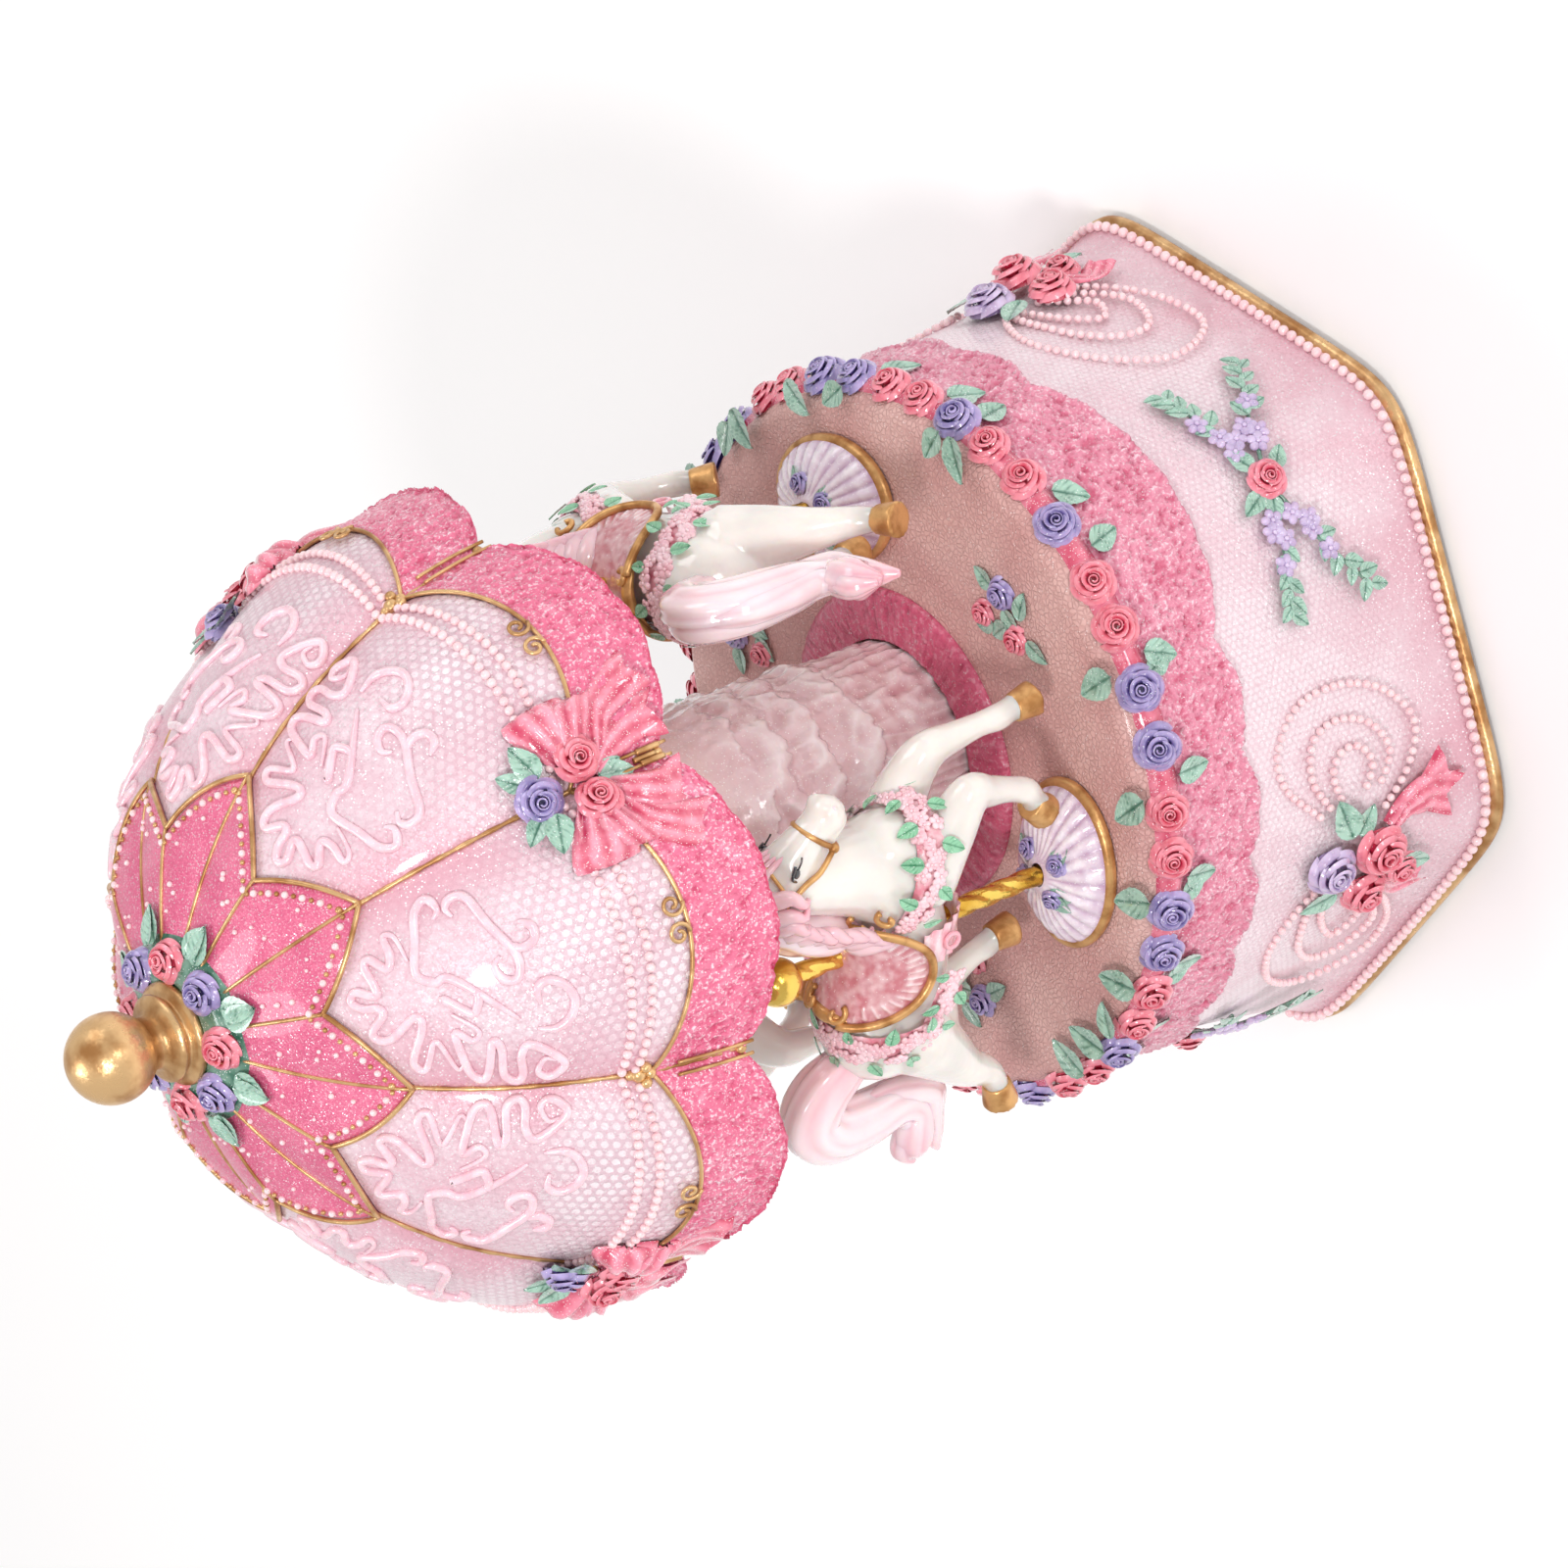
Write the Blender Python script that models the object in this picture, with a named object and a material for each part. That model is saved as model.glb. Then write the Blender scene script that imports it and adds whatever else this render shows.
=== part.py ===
"""Carousel music box. Metres, +Z up, the figure's axis on Z, the foot on z = 0, the front at -Y.
Angles called az are degrees about Z from -Y towards +X."""

import math

import bmesh
import bpy
from mathutils import Matrix
from mathutils import Vector

MM = 0.001
GAP = 0.3

TOTAL_HEIGHT = 230.0
CANOPY_TURN = -7.3

FOOT_RADIUS = 46.0
PAD_THICKNESS = 1.1
FOOT_BOTTOM = 1.4
FOOT_TOP = 3.4
HUB_TOP = 4.6
ARBOR_RADIUS = 2.0
ARBOR_TOP = 28.6

BASE_BOTTOM = 1.2
BASE_APOTHEM = 61.8
BASE_SHARPNESS = 18
FLOOR_Z = 68.0
FLOOR_RADIUS = 58.8
CAVITY_RADIUS = 50.0
RECESS_RADIUS = 55.4
RECESS_TOP = 8.0
CAVITY_TOP = 61.5

PLATE_BOTTOM = 5.0
SCREW_CIRCLE = 52.6

RING_RADIUS = 26.3
RING_HEIGHT = 1.6
COLUMN_BOTTOM_RADIUS = 17.2
COLUMN_TOP_RADIUS = 19.0
COLUMN_TOP = 152.0

POLE_CIRCLE = 41.0
POLE_RADIUS = 1.7
POLE_FOOT = 71.4
POLE_TOP = 178.0
BALL_RADIUS = 3.9
BALL_Z = 127.4
SHELL_LENGTH = 15.0
SHELL_WIDTH = 11.2
SHELL_TOP = 75.2
HORSE_TURNS = (0.0, -9.0, 0.0)

FINIAL_SEAT = 209.4
BALL_TOP_RADIUS = 7.1

BEDPLATE_BOTTOM = RECESS_TOP + GAP
BEDPLATE_TOP = BEDPLATE_BOTTOM + 1.5
CYLINDER_Z = 17.3
CYLINDER_RADIUS = 6.0
CROWN_TEETH = 24
CROWN_PITCH_Z = 12.7
CROWN_RADIUS = 13.8
PINION_TEETH = 8
PINION_PITCH = CYLINDER_Z - CROWN_PITCH_Z
WHEEL_TEETH = 24
GOVERNOR_PINION_TEETH = 8
WHEEL_PITCH = 6.3
GOVERNOR_Y = -8.55
GOVERNOR_TEETH = 20
GOVERNOR_RADIUS = 5.4
WORM_X = 38.3
WORM_Y = GOVERNOR_Y - 7.2
WORM_STARTS = 2


def clear_scene():
    for item in list(bpy.data.objects):
        bpy.data.objects.remove(item)


def linear(value):
    value = value / 255.0
    if value <= 0.04045:
        return value / 12.92
    return ((value + 0.055) / 1.055) ** 2.4


def paint(name, red, green, blue, roughness=0.5, metallic=0.0):
    material = bpy.data.materials.new(name)
    material.use_nodes = True
    shader = material.node_tree.nodes["Principled BSDF"]
    colour = (linear(red), linear(green), linear(blue), 1.0)
    shader.inputs["Base Color"].default_value = colour
    shader.inputs["Roughness"].default_value = roughness
    shader.inputs["Metallic"].default_value = metallic
    material.diffuse_color = colour
    return material


def finish(name, mesh, material, smooth=True):
    part = bpy.data.objects.new(name, mesh)
    bpy.context.scene.collection.objects.link(part)
    if material is not None and not mesh.materials:
        mesh.materials.append(material)
    for polygon in mesh.polygons:
        polygon.use_smooth = smooth
    return part


def mesh_from(form, name):
    bmesh.ops.recalc_face_normals(form, faces=form.faces)
    if form.calc_volume(signed=True) < 0:
        bmesh.ops.reverse_faces(form, faces=form.faces)
    mesh = bpy.data.meshes.new(name)
    form.to_mesh(mesh)
    form.free()
    return mesh


def polar(radius, az, z):
    turn = math.radians(az)
    return Vector((radius * math.sin(turn), -radius * math.cos(turn), z))


def loft(name, rings, material, smooth=True, loop=False):
    """Skin through rings of points in mm. A ring of one point closes an end; loop joins last to first."""
    form = bmesh.new()
    rows = [[form.verts.new(Vector(point) * MM) for point in ring] for ring in rings]
    pairs = list(zip(rows, rows[1:]))
    if loop:
        pairs.append((rows[-1], rows[0]))
    for lower, upper in pairs:
        count = max(len(lower), len(upper))
        for i in range(count):
            j = (i + 1) % count
            if len(lower) == 1:
                form.faces.new((lower[0], upper[j], upper[i]))
            elif len(upper) == 1:
                form.faces.new((lower[i], lower[j], upper[0]))
            else:
                form.faces.new((lower[i], lower[j], upper[j], upper[i]))
    return finish(name, mesh_from(form, name), material, smooth)


def circle(radius, z, count, turn=0.0):
    return [polar(radius, turn + 360.0 * i / count, z) for i in range(count)]


def lathe(name, profile, count, material, smooth=True, loop=False, turn=0.0):
    """Profile is (radius, z) pairs in mm; radius 0 closes on the axis."""
    rings = []
    for radius, z in profile:
        if radius == 0:
            rings.append([Vector((0, 0, z))])
        else:
            rings.append(circle(radius, z, count, turn))
    return loft(name, rings, material, smooth, loop)


def box(name, low, high, material):
    form = bmesh.new()
    bmesh.ops.create_cube(form, size=1.0)
    size = Vector(high) - Vector(low)
    middle = (Vector(high) + Vector(low)) / 2
    bmesh.ops.scale(form, vec=size * MM, verts=form.verts)
    bmesh.ops.translate(form, vec=middle * MM, verts=form.verts)
    return finish(name, mesh_from(form, name), material, smooth=False)


def cylinder_tool(name, radius, start, end, count=20):
    """A hidden rod from start to end in mm, used as a cutter."""
    form = bmesh.new()
    start = Vector(start)
    end = Vector(end)
    length = (end - start).length
    tilt = (end - start).to_track_quat("Z", "Y").to_matrix().to_4x4()
    place = Matrix.Translation((start + end) / 2 * MM) @ tilt
    bmesh.ops.create_cone(
        form, cap_ends=True, segments=count, radius1=radius * MM, radius2=radius * MM,
        depth=length * MM, matrix=place)
    tool = finish(name, mesh_from(form, name), None)
    tool.hide_render = True
    tool.display_type = "WIRE"
    return tool


def cut(part, tool, operation="DIFFERENCE"):
    modifier = part.modifiers.new(tool.name, "BOOLEAN")
    modifier.operation = operation
    modifier.solver = "EXACT"
    modifier.object = tool


def bake(part):
    """Turns the modifiers of a part into its mesh and gives back that mesh."""
    graph = bpy.context.evaluated_depsgraph_get()
    mesh = bpy.data.meshes.new_from_object(part.evaluated_get(graph))
    part.modifiers.clear()
    part.data = mesh
    return mesh


# ---------------------------------------------------------------- surfaces


def hexagon(az):
    total = 0.0
    for i in range(3):
        total += abs(math.cos(math.radians(az - 30 - 60 * i))) ** BASE_SHARPNESS
    return total ** (-1.0 / BASE_SHARPNESS)


def base_radius(az, z):
    """Outer radius of the base wall: a round top flaring into a rounded hexagon."""
    height = min(max((z - 2.0) / 57.0, 0.0), 1.0)
    blend = 1.0 - height ** 1.15 * (2.15 - height ** 1.15 * 1.15)
    blend = min(max(blend, 0.0), 1.0)
    apothem = BASE_APOTHEM * (1 - 0.045 * height)
    corner = apothem * (1 + (hexagon(az) - 1) * blend)
    lip = max(z - 63.5, 0.0) / (FLOOR_Z - 63.5)
    return corner - 1.8 * lip ** 2.2


RIB_PROFILE = (
    (3.2, 210.2), (8.6, 209.1), (19.0, 205.4), (28.7, 200.4), (37.3, 194.1), (46.0, 184.8),
    (52.4, 174.6), (57.0, 164.6), (59.2, 156.0), (60.1, 149.4),
)
PANEL_PROFILE = (
    (3.2, 210.2), (8.6, 209.3), (19.0, 206.2), (29.2, 202.0), (39.4, 195.4), (48.6, 186.4),
    (55.8, 175.8), (60.8, 164.8), (63.6, 152.5), (64.6, 140.6),
)


def along(profile, step):
    place = min(max(step, 0.0), 0.99999) * (len(profile) - 1)
    index = int(place)
    part = place - index
    a = profile[max(index - 1, 0)]
    b = profile[index]
    c = profile[index + 1]
    d = profile[min(index + 2, len(profile) - 1)]
    value = []
    for i in range(2):
        bend = (2 * b[i] + (c[i] - a[i]) * part + (2 * a[i] - 5 * b[i] + 4 * c[i] - d[i]) * part ** 2
                + (3 * b[i] - a[i] - 3 * c[i] + d[i]) * part ** 3)
        value.append(bend / 2)
    return value


def pillow(az):
    """0 on a rib, 1 in the middle of a panel."""
    across = ((az - CANOPY_TURN) / 45.0) % 1.0
    return 1.0 - (2 * across - 1) ** 2


def canopy_radius_height(az, step):
    swell = pillow(az) ** 0.8
    rib = along(RIB_PROFILE, step)
    panel = along(PANEL_PROFILE, step)
    radius = rib[0] + (panel[0] - rib[0]) * swell
    height = rib[1] + (panel[1] - rib[1]) * swell
    return radius, height


def canopy_point(az, step, out=0.0):
    radius, height = canopy_radius_height(az, step)
    radius_a, height_a = canopy_radius_height(az, max(step - 0.02, 0.0))
    radius_b, height_b = canopy_radius_height(az, min(step + 0.02, 1.0))
    run = radius_b - radius_a
    drop = height_a - height_b
    length = math.hypot(run, drop)
    return polar(radius + out * drop / length, az, height + out * run / length)


def base_point(az, z, out=0.0):
    return polar(base_radius(az, z) + out, az, z)


def relief(name, surface, centre, size, outline, height, material, spokes=22, rows=4):
    """A raised patch whose back follows the surface GAP away. Size is in degrees and in surface steps."""
    fronts = []
    backs = []
    for row in range(1, rows + 1):
        reach = row / rows
        front = []
        back = []
        for i in range(spokes):
            turn = 2 * math.pi * i / spokes
            spread = reach * outline(turn)
            across = spread * math.cos(turn)
            up = spread * math.sin(turn)
            az = centre[0] + size[0] * across
            step = centre[1] + size[1] * up
            rise = height(across, up) * (1.0 - reach ** 6) + 0.5
            front.append(surface(az, step, GAP + rise))
            back.append(surface(az, step, GAP))
        fronts.append(front)
        backs.append(back)
    top = [surface(centre[0], centre[1], GAP + 0.5 + height(0.0, 0.0))]
    bottom = [surface(centre[0], centre[1], GAP)]
    rings = [top] + fronts + backs[::-1] + [bottom]
    return loft(name, rings, material)


def lump(across, up, x, y, reach, rise):
    """Height of one rounded blossom in a relief."""
    far = ((across - x) ** 2 + (up - y) ** 2) / reach ** 2
    return rise * max(0.0, 1.0 - far) ** 0.6


# ---------------------------------------------------------------- gears


def gear(name, teeth, root, tip, thickness, bore, material, width=0.4, phase=0.0):
    """A spur wheel about local Z, from z = 0 to thickness, in mm."""
    outline = []
    pitch = 2 * math.pi / teeth
    for i in range(teeth):
        middle = pitch * (i + phase)
        for offset, radius in ((-width / 2, root), (-width / 4, tip), (width / 4, tip), (width / 2, root)):
            turn = middle + offset * pitch
            outline.append((radius * math.cos(turn), radius * math.sin(turn)))
    form = bmesh.new()
    low = [form.verts.new(Vector((x, y, 0)) * MM) for x, y in outline]
    high = [form.verts.new(Vector((x, y, thickness)) * MM) for x, y in outline]
    count = len(outline)
    for i in range(count):
        j = (i + 1) % count
        form.faces.new((low[i], low[j], high[j], high[i]))
    form.faces.new(low)
    form.faces.new(high)
    wheel = finish(name, mesh_from(form, name), material, smooth=False)
    drill = cylinder_tool(name + "_bore", bore, (0, 0, -1), (0, 0, thickness + 1), 12)
    cut(wheel, drill)
    bake(wheel)
    bpy.data.objects.remove(drill)
    return wheel


def crown_gear(name, teeth, material):
    """Flat wheel on the arbor with its teeth standing up near the rim."""
    root = CROWN_PITCH_Z - 1.05
    tip = CROWN_PITCH_Z + 0.7
    pitch = 360.0 / teeth
    steps = ((-0.25, 0), (-0.1, 1), (0.1, 1), (0.25, 0))
    rings = []
    for i in range(teeth):
        for offset, raised in steps:
            az = 90 + pitch * (i + 0.5 + offset)
            crest = tip if raised else root
            rings.append([
                polar(ARBOR_RADIUS + GAP, az, 11.0), polar(15.2, az, 11.0), polar(15.2, az, crest),
                polar(12.5, az, crest), polar(ARBOR_RADIUS + GAP, az, root)])
    return loft(name, rings, material, smooth=False, loop=True)


def along_x(part, x, y, z):
    """Turns a part built about Z so that its axis lies along +X, with its start at x."""
    part.data.transform(Matrix.Rotation(math.radians(90), 4, "Y"))
    part.location = Vector((x, y, z)) * MM
    return part


# ---------------------------------------------------------------- foot and movement


def build_foot(paints):
    lathe("foot_pad", [(0, 0), (44.2, 0), (45, 0.5), (45, PAD_THICKNESS), (0, PAD_THICKNESS)], 28,
          paints["felt"])
    lathe("foot_disc", [(0, FOOT_BOTTOM), (FOOT_RADIUS - 0.5, FOOT_BOTTOM), (FOOT_RADIUS, 1.9),
                        (FOOT_RADIUS, FOOT_TOP), (7.4, FOOT_TOP), (6.2, HUB_TOP),
                        (ARBOR_RADIUS + GAP, HUB_TOP), (ARBOR_RADIUS + GAP, 2.3), (0, 2.3)], 28,
          paints["foot"], smooth=False)
    lathe("winding_arbor", [(0, 2.6), (ARBOR_RADIUS, 2.6), (ARBOR_RADIUS, ARBOR_TOP - 0.5),
                            (ARBOR_RADIUS - 0.5, ARBOR_TOP), (0, ARBOR_TOP)], 12, paints["steel"])
    crown_gear("great_wheel", CROWN_TEETH, paints["brass"])


def build_movement(paints):
    steel = paints["steel"]
    brass = paints["brass"]
    base = BEDPLATE_BOTTOM
    top = BEDPLATE_TOP

    bed = box("movement_bedplate", (-18, -21.5, base), (41.6, 25, top), paints["casting"])
    step = box("comb_seat", (15.5, 17.5, top + GAP), (35.5, 24.5, CYLINDER_Z - 0.5 - GAP), paints["casting"])
    cut(bed, cylinder_tool("bed_bore", ARBOR_RADIUS + 0.6, (0, 0, 5), (0, 0, 12)))
    cut(bed, cylinder_tool("worm_bore", 0.7, (WORM_X, WORM_Y, 5), (WORM_X, WORM_Y, 12), 12))

    cup = [(2.6, 26.4), (11.2, 26.4), (11.8, 25.8), (11.8, 15.0), (11.2, 15.0), (11.2, 25.7), (2.6, 25.7)]
    lathe("spring_housing", cup, 24, brass, loop=True, smooth=False)

    rings = []
    for i in range(34):
        turn = 2 * math.pi * i / 11
        radius = 3.4 + 2.1 * i / 11
        spot = Vector((math.cos(turn), math.sin(turn), 0))
        near = spot * radius
        far = spot * (radius + 0.5)
        rings.append([near + Vector((0, 0, 16.2)), far + Vector((0, 0, 16.2)),
                      far + Vector((0, 0, 24.6)), near + Vector((0, 0, 24.6))])
    form = bmesh.new()
    rows = [[form.verts.new(point * MM) for point in ring] for ring in rings]
    for lower, upper in zip(rows, rows[1:]):
        for i in range(4):
            j = (i + 1) % 4
            form.faces.new((lower[i], lower[j], upper[j], upper[i]))
    form.faces.new(rows[0])
    form.faces.new(rows[-1])
    finish("mainspring", mesh_from(form, "mainspring"), steel, smooth=False)

    bridge = box("spring_bridge", (-5, -20, 26.7), (5, 20, 28.0), steel)
    for side, sign in (("a", 1), ("b", -1)):
        low = 18.4 * sign
        high = 20.0 * sign
        leg = box("bridge_leg_" + side, (-5, min(low, high), top + GAP), (5, max(low, high), 27.0), steel)
        leg.hide_render = True
        leg.display_type = "WIRE"
        cut(bridge, leg, "UNION")
    cut(bridge, cylinder_tool("bridge_bore", ARBOR_RADIUS + 0.4, (0, 0, 24), (0, 0, 32)))

    shaft = 0.9
    drum = lathe("cylinder_drum", [
        (0, 0), (shaft, 0), (shaft, 4.8), (CYLINDER_RADIUS, 4.8), (CYLINDER_RADIUS, 21.8),
        (shaft, 21.8), (shaft, 25.0), (0, 25.0)], 20, brass, smooth=False)
    along_x(drum, 12.2, 0, CYLINDER_Z)
    pinion = gear("cylinder_pinion", PINION_TEETH, PINION_PITCH - 0.9, PINION_PITCH + 0.55, 2.6,
                  shaft + GAP, brass, width=0.5)
    along_x(pinion, 12.5, 0, CYLINDER_Z)
    wheel = gear("cylinder_wheel", WHEEL_TEETH, WHEEL_PITCH - 0.5, WHEEL_PITCH + 0.35, 1.2,
                 shaft + GAP, brass, width=0.5)
    along_x(wheel, 34.5, 0, CYLINDER_Z)

    inner = box("bracket_inner", (15.7, -3, top + GAP), (16.5, 3, 20.2), steel)
    cut(inner, cylinder_tool("inner_bore", shaft + 0.35, (10, 0, CYLINDER_Z), (20, 0, CYLINDER_Z), 16))
    outer = box("bracket_outer", (36.1, -11, top + GAP), (36.8, 3.5, 20.2), steel)
    cut(outer, cylinder_tool("outer_bore", shaft + 0.35, (30, 0, CYLINDER_Z), (40, 0, CYLINDER_Z), 16))
    cut(outer, cylinder_tool("governor_bore", 1.0, (30, GOVERNOR_Y, CYLINDER_Z),
                             (40, GOVERNOR_Y, CYLINDER_Z), 16))

    lift = CYLINDER_Z
    governor = lathe("governor_shaft", [(0, 0), (0.65, 0), (0.65, 6.9), (0, 6.9)], 12, steel)
    along_x(governor, 34.1, GOVERNOR_Y, lift)
    small = gear("governor_pinion", GOVERNOR_PINION_TEETH, 1.6, 2.4, 1.2, 0.65 + GAP, brass, width=0.5, phase=0.5)
    along_x(small, 34.5, GOVERNOR_Y, lift)
    large = gear("governor_wheel", GOVERNOR_TEETH, GOVERNOR_RADIUS - 0.7, GOVERNOR_RADIUS, 1.4,
                 0.65 + GAP, brass, width=0.5)
    along_x(large, 37.6, GOVERNOR_Y, lift)

    frame = box("governor_bracket", (40.2, -20.5, top + GAP), (41.0, -4, 24.2), steel)
    arm = box("governor_arm", (36.0, -19.5, 23.4), (40.6, -12.5, 24.2), steel)
    arm.hide_render = True
    arm.display_type = "WIRE"
    cut(frame, arm, "UNION")
    cut(frame, cylinder_tool("pivot_bore", 0.95, (37, GOVERNOR_Y, lift), (44, GOVERNOR_Y, lift), 16))
    cut(frame, cylinder_tool("arm_bore", 0.95, (WORM_X, WORM_Y, 22), (WORM_X, WORM_Y, 26), 16))

    rings = [[Vector((0, 0, top - 0.9))]]
    rings.append([Vector((0.45 * math.cos(a), 0.45 * math.sin(a), top - 0.9))
                  for a in [2 * math.pi * i / 10 for i in range(10)]])
    rings.append([Vector((0.45 * math.cos(a), 0.45 * math.sin(a), 11.4))
                  for a in [2 * math.pi * i / 10 for i in range(10)]])
    for row in range(15):
        z = 11.6 + row * 0.77
        ring = []
        for i in range(10):
            a = 2 * math.pi * i / 10
            thread = 0.5 + 0.5 * math.cos(WORM_STARTS * a - 2 * math.pi * z / 1.7)
            radius = 1.05 + 0.4 * thread
            ring.append(Vector((radius * math.cos(a), radius * math.sin(a), z)))
        rings.append(ring)
    for radius, z in ((0.6, 22.7), (0.6, 27.4)):
        rings.append([Vector((radius * math.cos(a), radius * math.sin(a), z))
                      for a in [2 * math.pi * i / 10 for i in range(10)]])
    rings.append([Vector((0, 0, 27.4))])
    worm = loft("worm", rings, steel)
    worm.location = Vector((WORM_X, WORM_Y, 0)) * MM

    fly = box("fly", (-4.2, -0.5, 24.7), (4.2, 0.5, 26.9), paints["black"])
    hub = cylinder_tool("fly_hub", 1.6, (0, 0, 24.7), (0, 0, 26.9), 16)
    cut(fly, hub, "UNION")
    cut(fly, cylinder_tool("fly_bore", 0.6 + GAP, (0, 0, 23), (0, 0, 29), 12))
    fly.location = Vector((WORM_X, WORM_Y, 0)) * MM
    for tool in ("fly_hub", "fly_bore"):
        bpy.data.objects[tool].location = fly.location

    form = bmesh.new()
    edge = []
    pitch = 17.4 / 18
    for i in range(18):
        start = 16.8 + pitch * i
        edge.append((start + 0.14, CYLINDER_RADIUS + 0.45))
        edge.append((start + pitch - 0.14, CYLINDER_RADIUS + 0.45))
        if i < 17:
            edge.append((start + pitch - 0.14, 15.6 + 0.1 * i))
            edge.append((start + pitch + 0.14, 15.6 + 0.1 * i))
    edge += [(34.06, 24.4), (16.94, 24.4)]
    low = [form.verts.new(Vector((x, y, CYLINDER_Z - 0.5)) * MM) for x, y in edge]
    high = [form.verts.new(Vector((x, y, CYLINDER_Z + 0.2)) * MM) for x, y in edge]
    count = len(edge)
    for i in range(count):
        j = (i + 1) % count
        form.faces.new((low[i], low[j], high[j], high[i]))
    form.faces.new(low)
    form.faces.new(high)
    comb = finish("comb", mesh_from(form, "comb"), steel, smooth=False)
    for i, x in enumerate((20.5, 30.5)):
        cut(comb, cylinder_tool("comb_bore_%d" % i, 1.25, (x, 21.2, 15), (x, 21.2, 20), 14))
        cut(step, cylinder_tool("seat_bore_%d" % i, 1.25, (x, 21.2, 12.5), (x, 21.2, 20), 14))
        bolt = lathe("comb_screw_%d" % (i + 1), [
            (0, 12.9), (0.9, 12.9), (0.9, CYLINDER_Z + 0.5), (1.9, CYLINDER_Z + 0.5),
            (1.9, CYLINDER_Z + 1.2), (1.3, CYLINDER_Z + 1.6), (0, CYLINDER_Z + 1.6)], 10, steel)
        bolt.location = Vector((x, 21.2, 0)) * MM


def build_bottom(paints):
    plate = lathe("bottom_plate", [
        (ARBOR_RADIUS + 1.2, PLATE_BOTTOM), (55.1, PLATE_BOTTOM), (55.1, RECESS_TOP - GAP),
        (ARBOR_RADIUS + 1.2, RECESS_TOP - GAP)], 36, paints["plate"], loop=True, smooth=False)
    for i in range(3):
        spot = polar(SCREW_CIRCLE, 30 + 120 * i, 0)
        low = spot + Vector((0, 0, 2))
        cut(plate, cylinder_tool("plate_bore_%d" % i, 1.5, low, spot + Vector((0, 0, 10)), 14))
        screw = lathe("bottom_screw_%d" % (i + 1), [
            (0, 3.5), (2.3, 3.7), (2.6, 4.7), (1.15, 4.7), (1.15, 15.0), (0.5, 16.2), (0, 16.2)], 10,
            paints["steel"])
        screw.location = spot * MM


# ---------------------------------------------------------------- base


def build_base(paints):
    count = 54
    outer = []
    for z, out in ((BASE_BOTTOM, 0.7), (2.4, 0.7), (3.0, -0.4), (4.7, 0.6), (6.5, -1.0), (16, -1.4), (28, -1.0),
                   (40, -0.4), (52, 0.1), (63.4, 0.0), (66.4, 0.0)):
        ring = []
        for i in range(count):
            az = 360.0 * i / count
            ring.append(base_point(az, z, out))
        outer.append(ring)
    outer.append(circle(FLOOR_RADIUS - 2.6, FLOOR_Z, count))
    rings = [[Vector((0, 0, CAVITY_TOP))], circle(CAVITY_RADIUS, CAVITY_TOP, count), circle(CAVITY_RADIUS, RECESS_TOP, count),
             circle(RECESS_RADIUS, RECESS_TOP, count), circle(RECESS_RADIUS, BASE_BOTTOM, count)]
    rings += outer
    rings.append([Vector((0, 0, FLOOR_Z))])
    shell = loft("base_shell", rings, paints["base"])
    for i in range(3):
        spot = polar(SCREW_CIRCLE, 30 + 120 * i, 0)
        start = spot + Vector((0, 0, 5))
        cut(shell, cylinder_tool("base_bore_%d" % i, 1.5, start, spot + Vector((0, 0, 17)), 14))

    rings = []
    steps = 72
    for i in range(steps):
        az = 360.0 * i / steps
        swell = 0.5 - 0.5 * math.cos(math.radians(az * 24))
        top = FLOOR_Z + GAP
        edge = base_radius(az, 64) + GAP
        out = 1.6 + 2.6 * swell
        rings.append([
            polar(55.6 - swell, az, top), polar(edge - 0.7, az, top), polar(edge + 0.4, az, 63.4),
            polar(edge + 0.6, az, 59.8 - swell), polar(edge + out, az, 61.4 - swell),
            polar(edge + out, az, 66.4), polar(57.4, az, 69.0 + 1.2 * swell)])
    loft("rose_garland", rings, paints["rose"], loop=True)


def build_ornaments(paints):
    def bow_outline(turn):
        return 0.5 + 0.48 * abs(math.cos(turn)) ** 1.3 + 0.2 * abs(math.sin(turn)) ** 4

    def bow_height(across, up):
        return max(lump(across, up, -0.03, 0.1, 0.42, 3.8), 0.8)

    for i, az in enumerate((-60, 60, 180)):
        relief("corner_bouquet_%d" % (i + 1), base_point, (az, 27.5), (20.5, 15.5), bow_outline,
               bow_height, paints["rose"], spokes=20, rows=3)

    def spray_outline(turn):
        return 0.42 + 0.56 * abs(math.sin(2 * turn + 0.25)) ** 2.2

    def spray_height(across, up):
        return max(lump(across, up, 0.0, 0.0, 0.2, 1.9), 0.55)

    for i, az in enumerate((0, 120, 240)):
        relief("corner_spray_%d" % (i + 1), base_point, (az - 3, 28.5), (26.0, 15.0), spray_outline,
               spray_height, paints["leaf"], spokes=24, rows=2)

    def ribbon_outline(turn):
        side = abs(math.cos(turn))
        return 0.55 + 0.4 * side ** 1.5 + (0.18 if math.sin(turn) > 0.3 and side > 0.2 else 0.0)

    def ribbon_height(across, up):
        rise = lump(across, up, -0.2, -0.1, 0.34, 3.6)
        rise = max(rise, lump(across, up, 0.24, -0.1, 0.34, 3.6))
        rise = max(rise, lump(across, up, 0.05, -0.52, 0.34, 3.6))
        loops = lump(across, up, -0.6, 0.2, 0.45, 2.6) + lump(across, up, 0.6, 0.2, 0.45, 2.6)
        return max(rise, loops, 0.9)

    for i in range(4):
        az = CANOPY_TURN + 90 * i
        relief("canopy_bow_%d" % (i + 1), canopy_point, (az, 0.795), (12.5, 0.165), ribbon_outline,
               ribbon_height, paints["ribbon"], spokes=20, rows=3)


# ---------------------------------------------------------------- column and canopy


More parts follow.
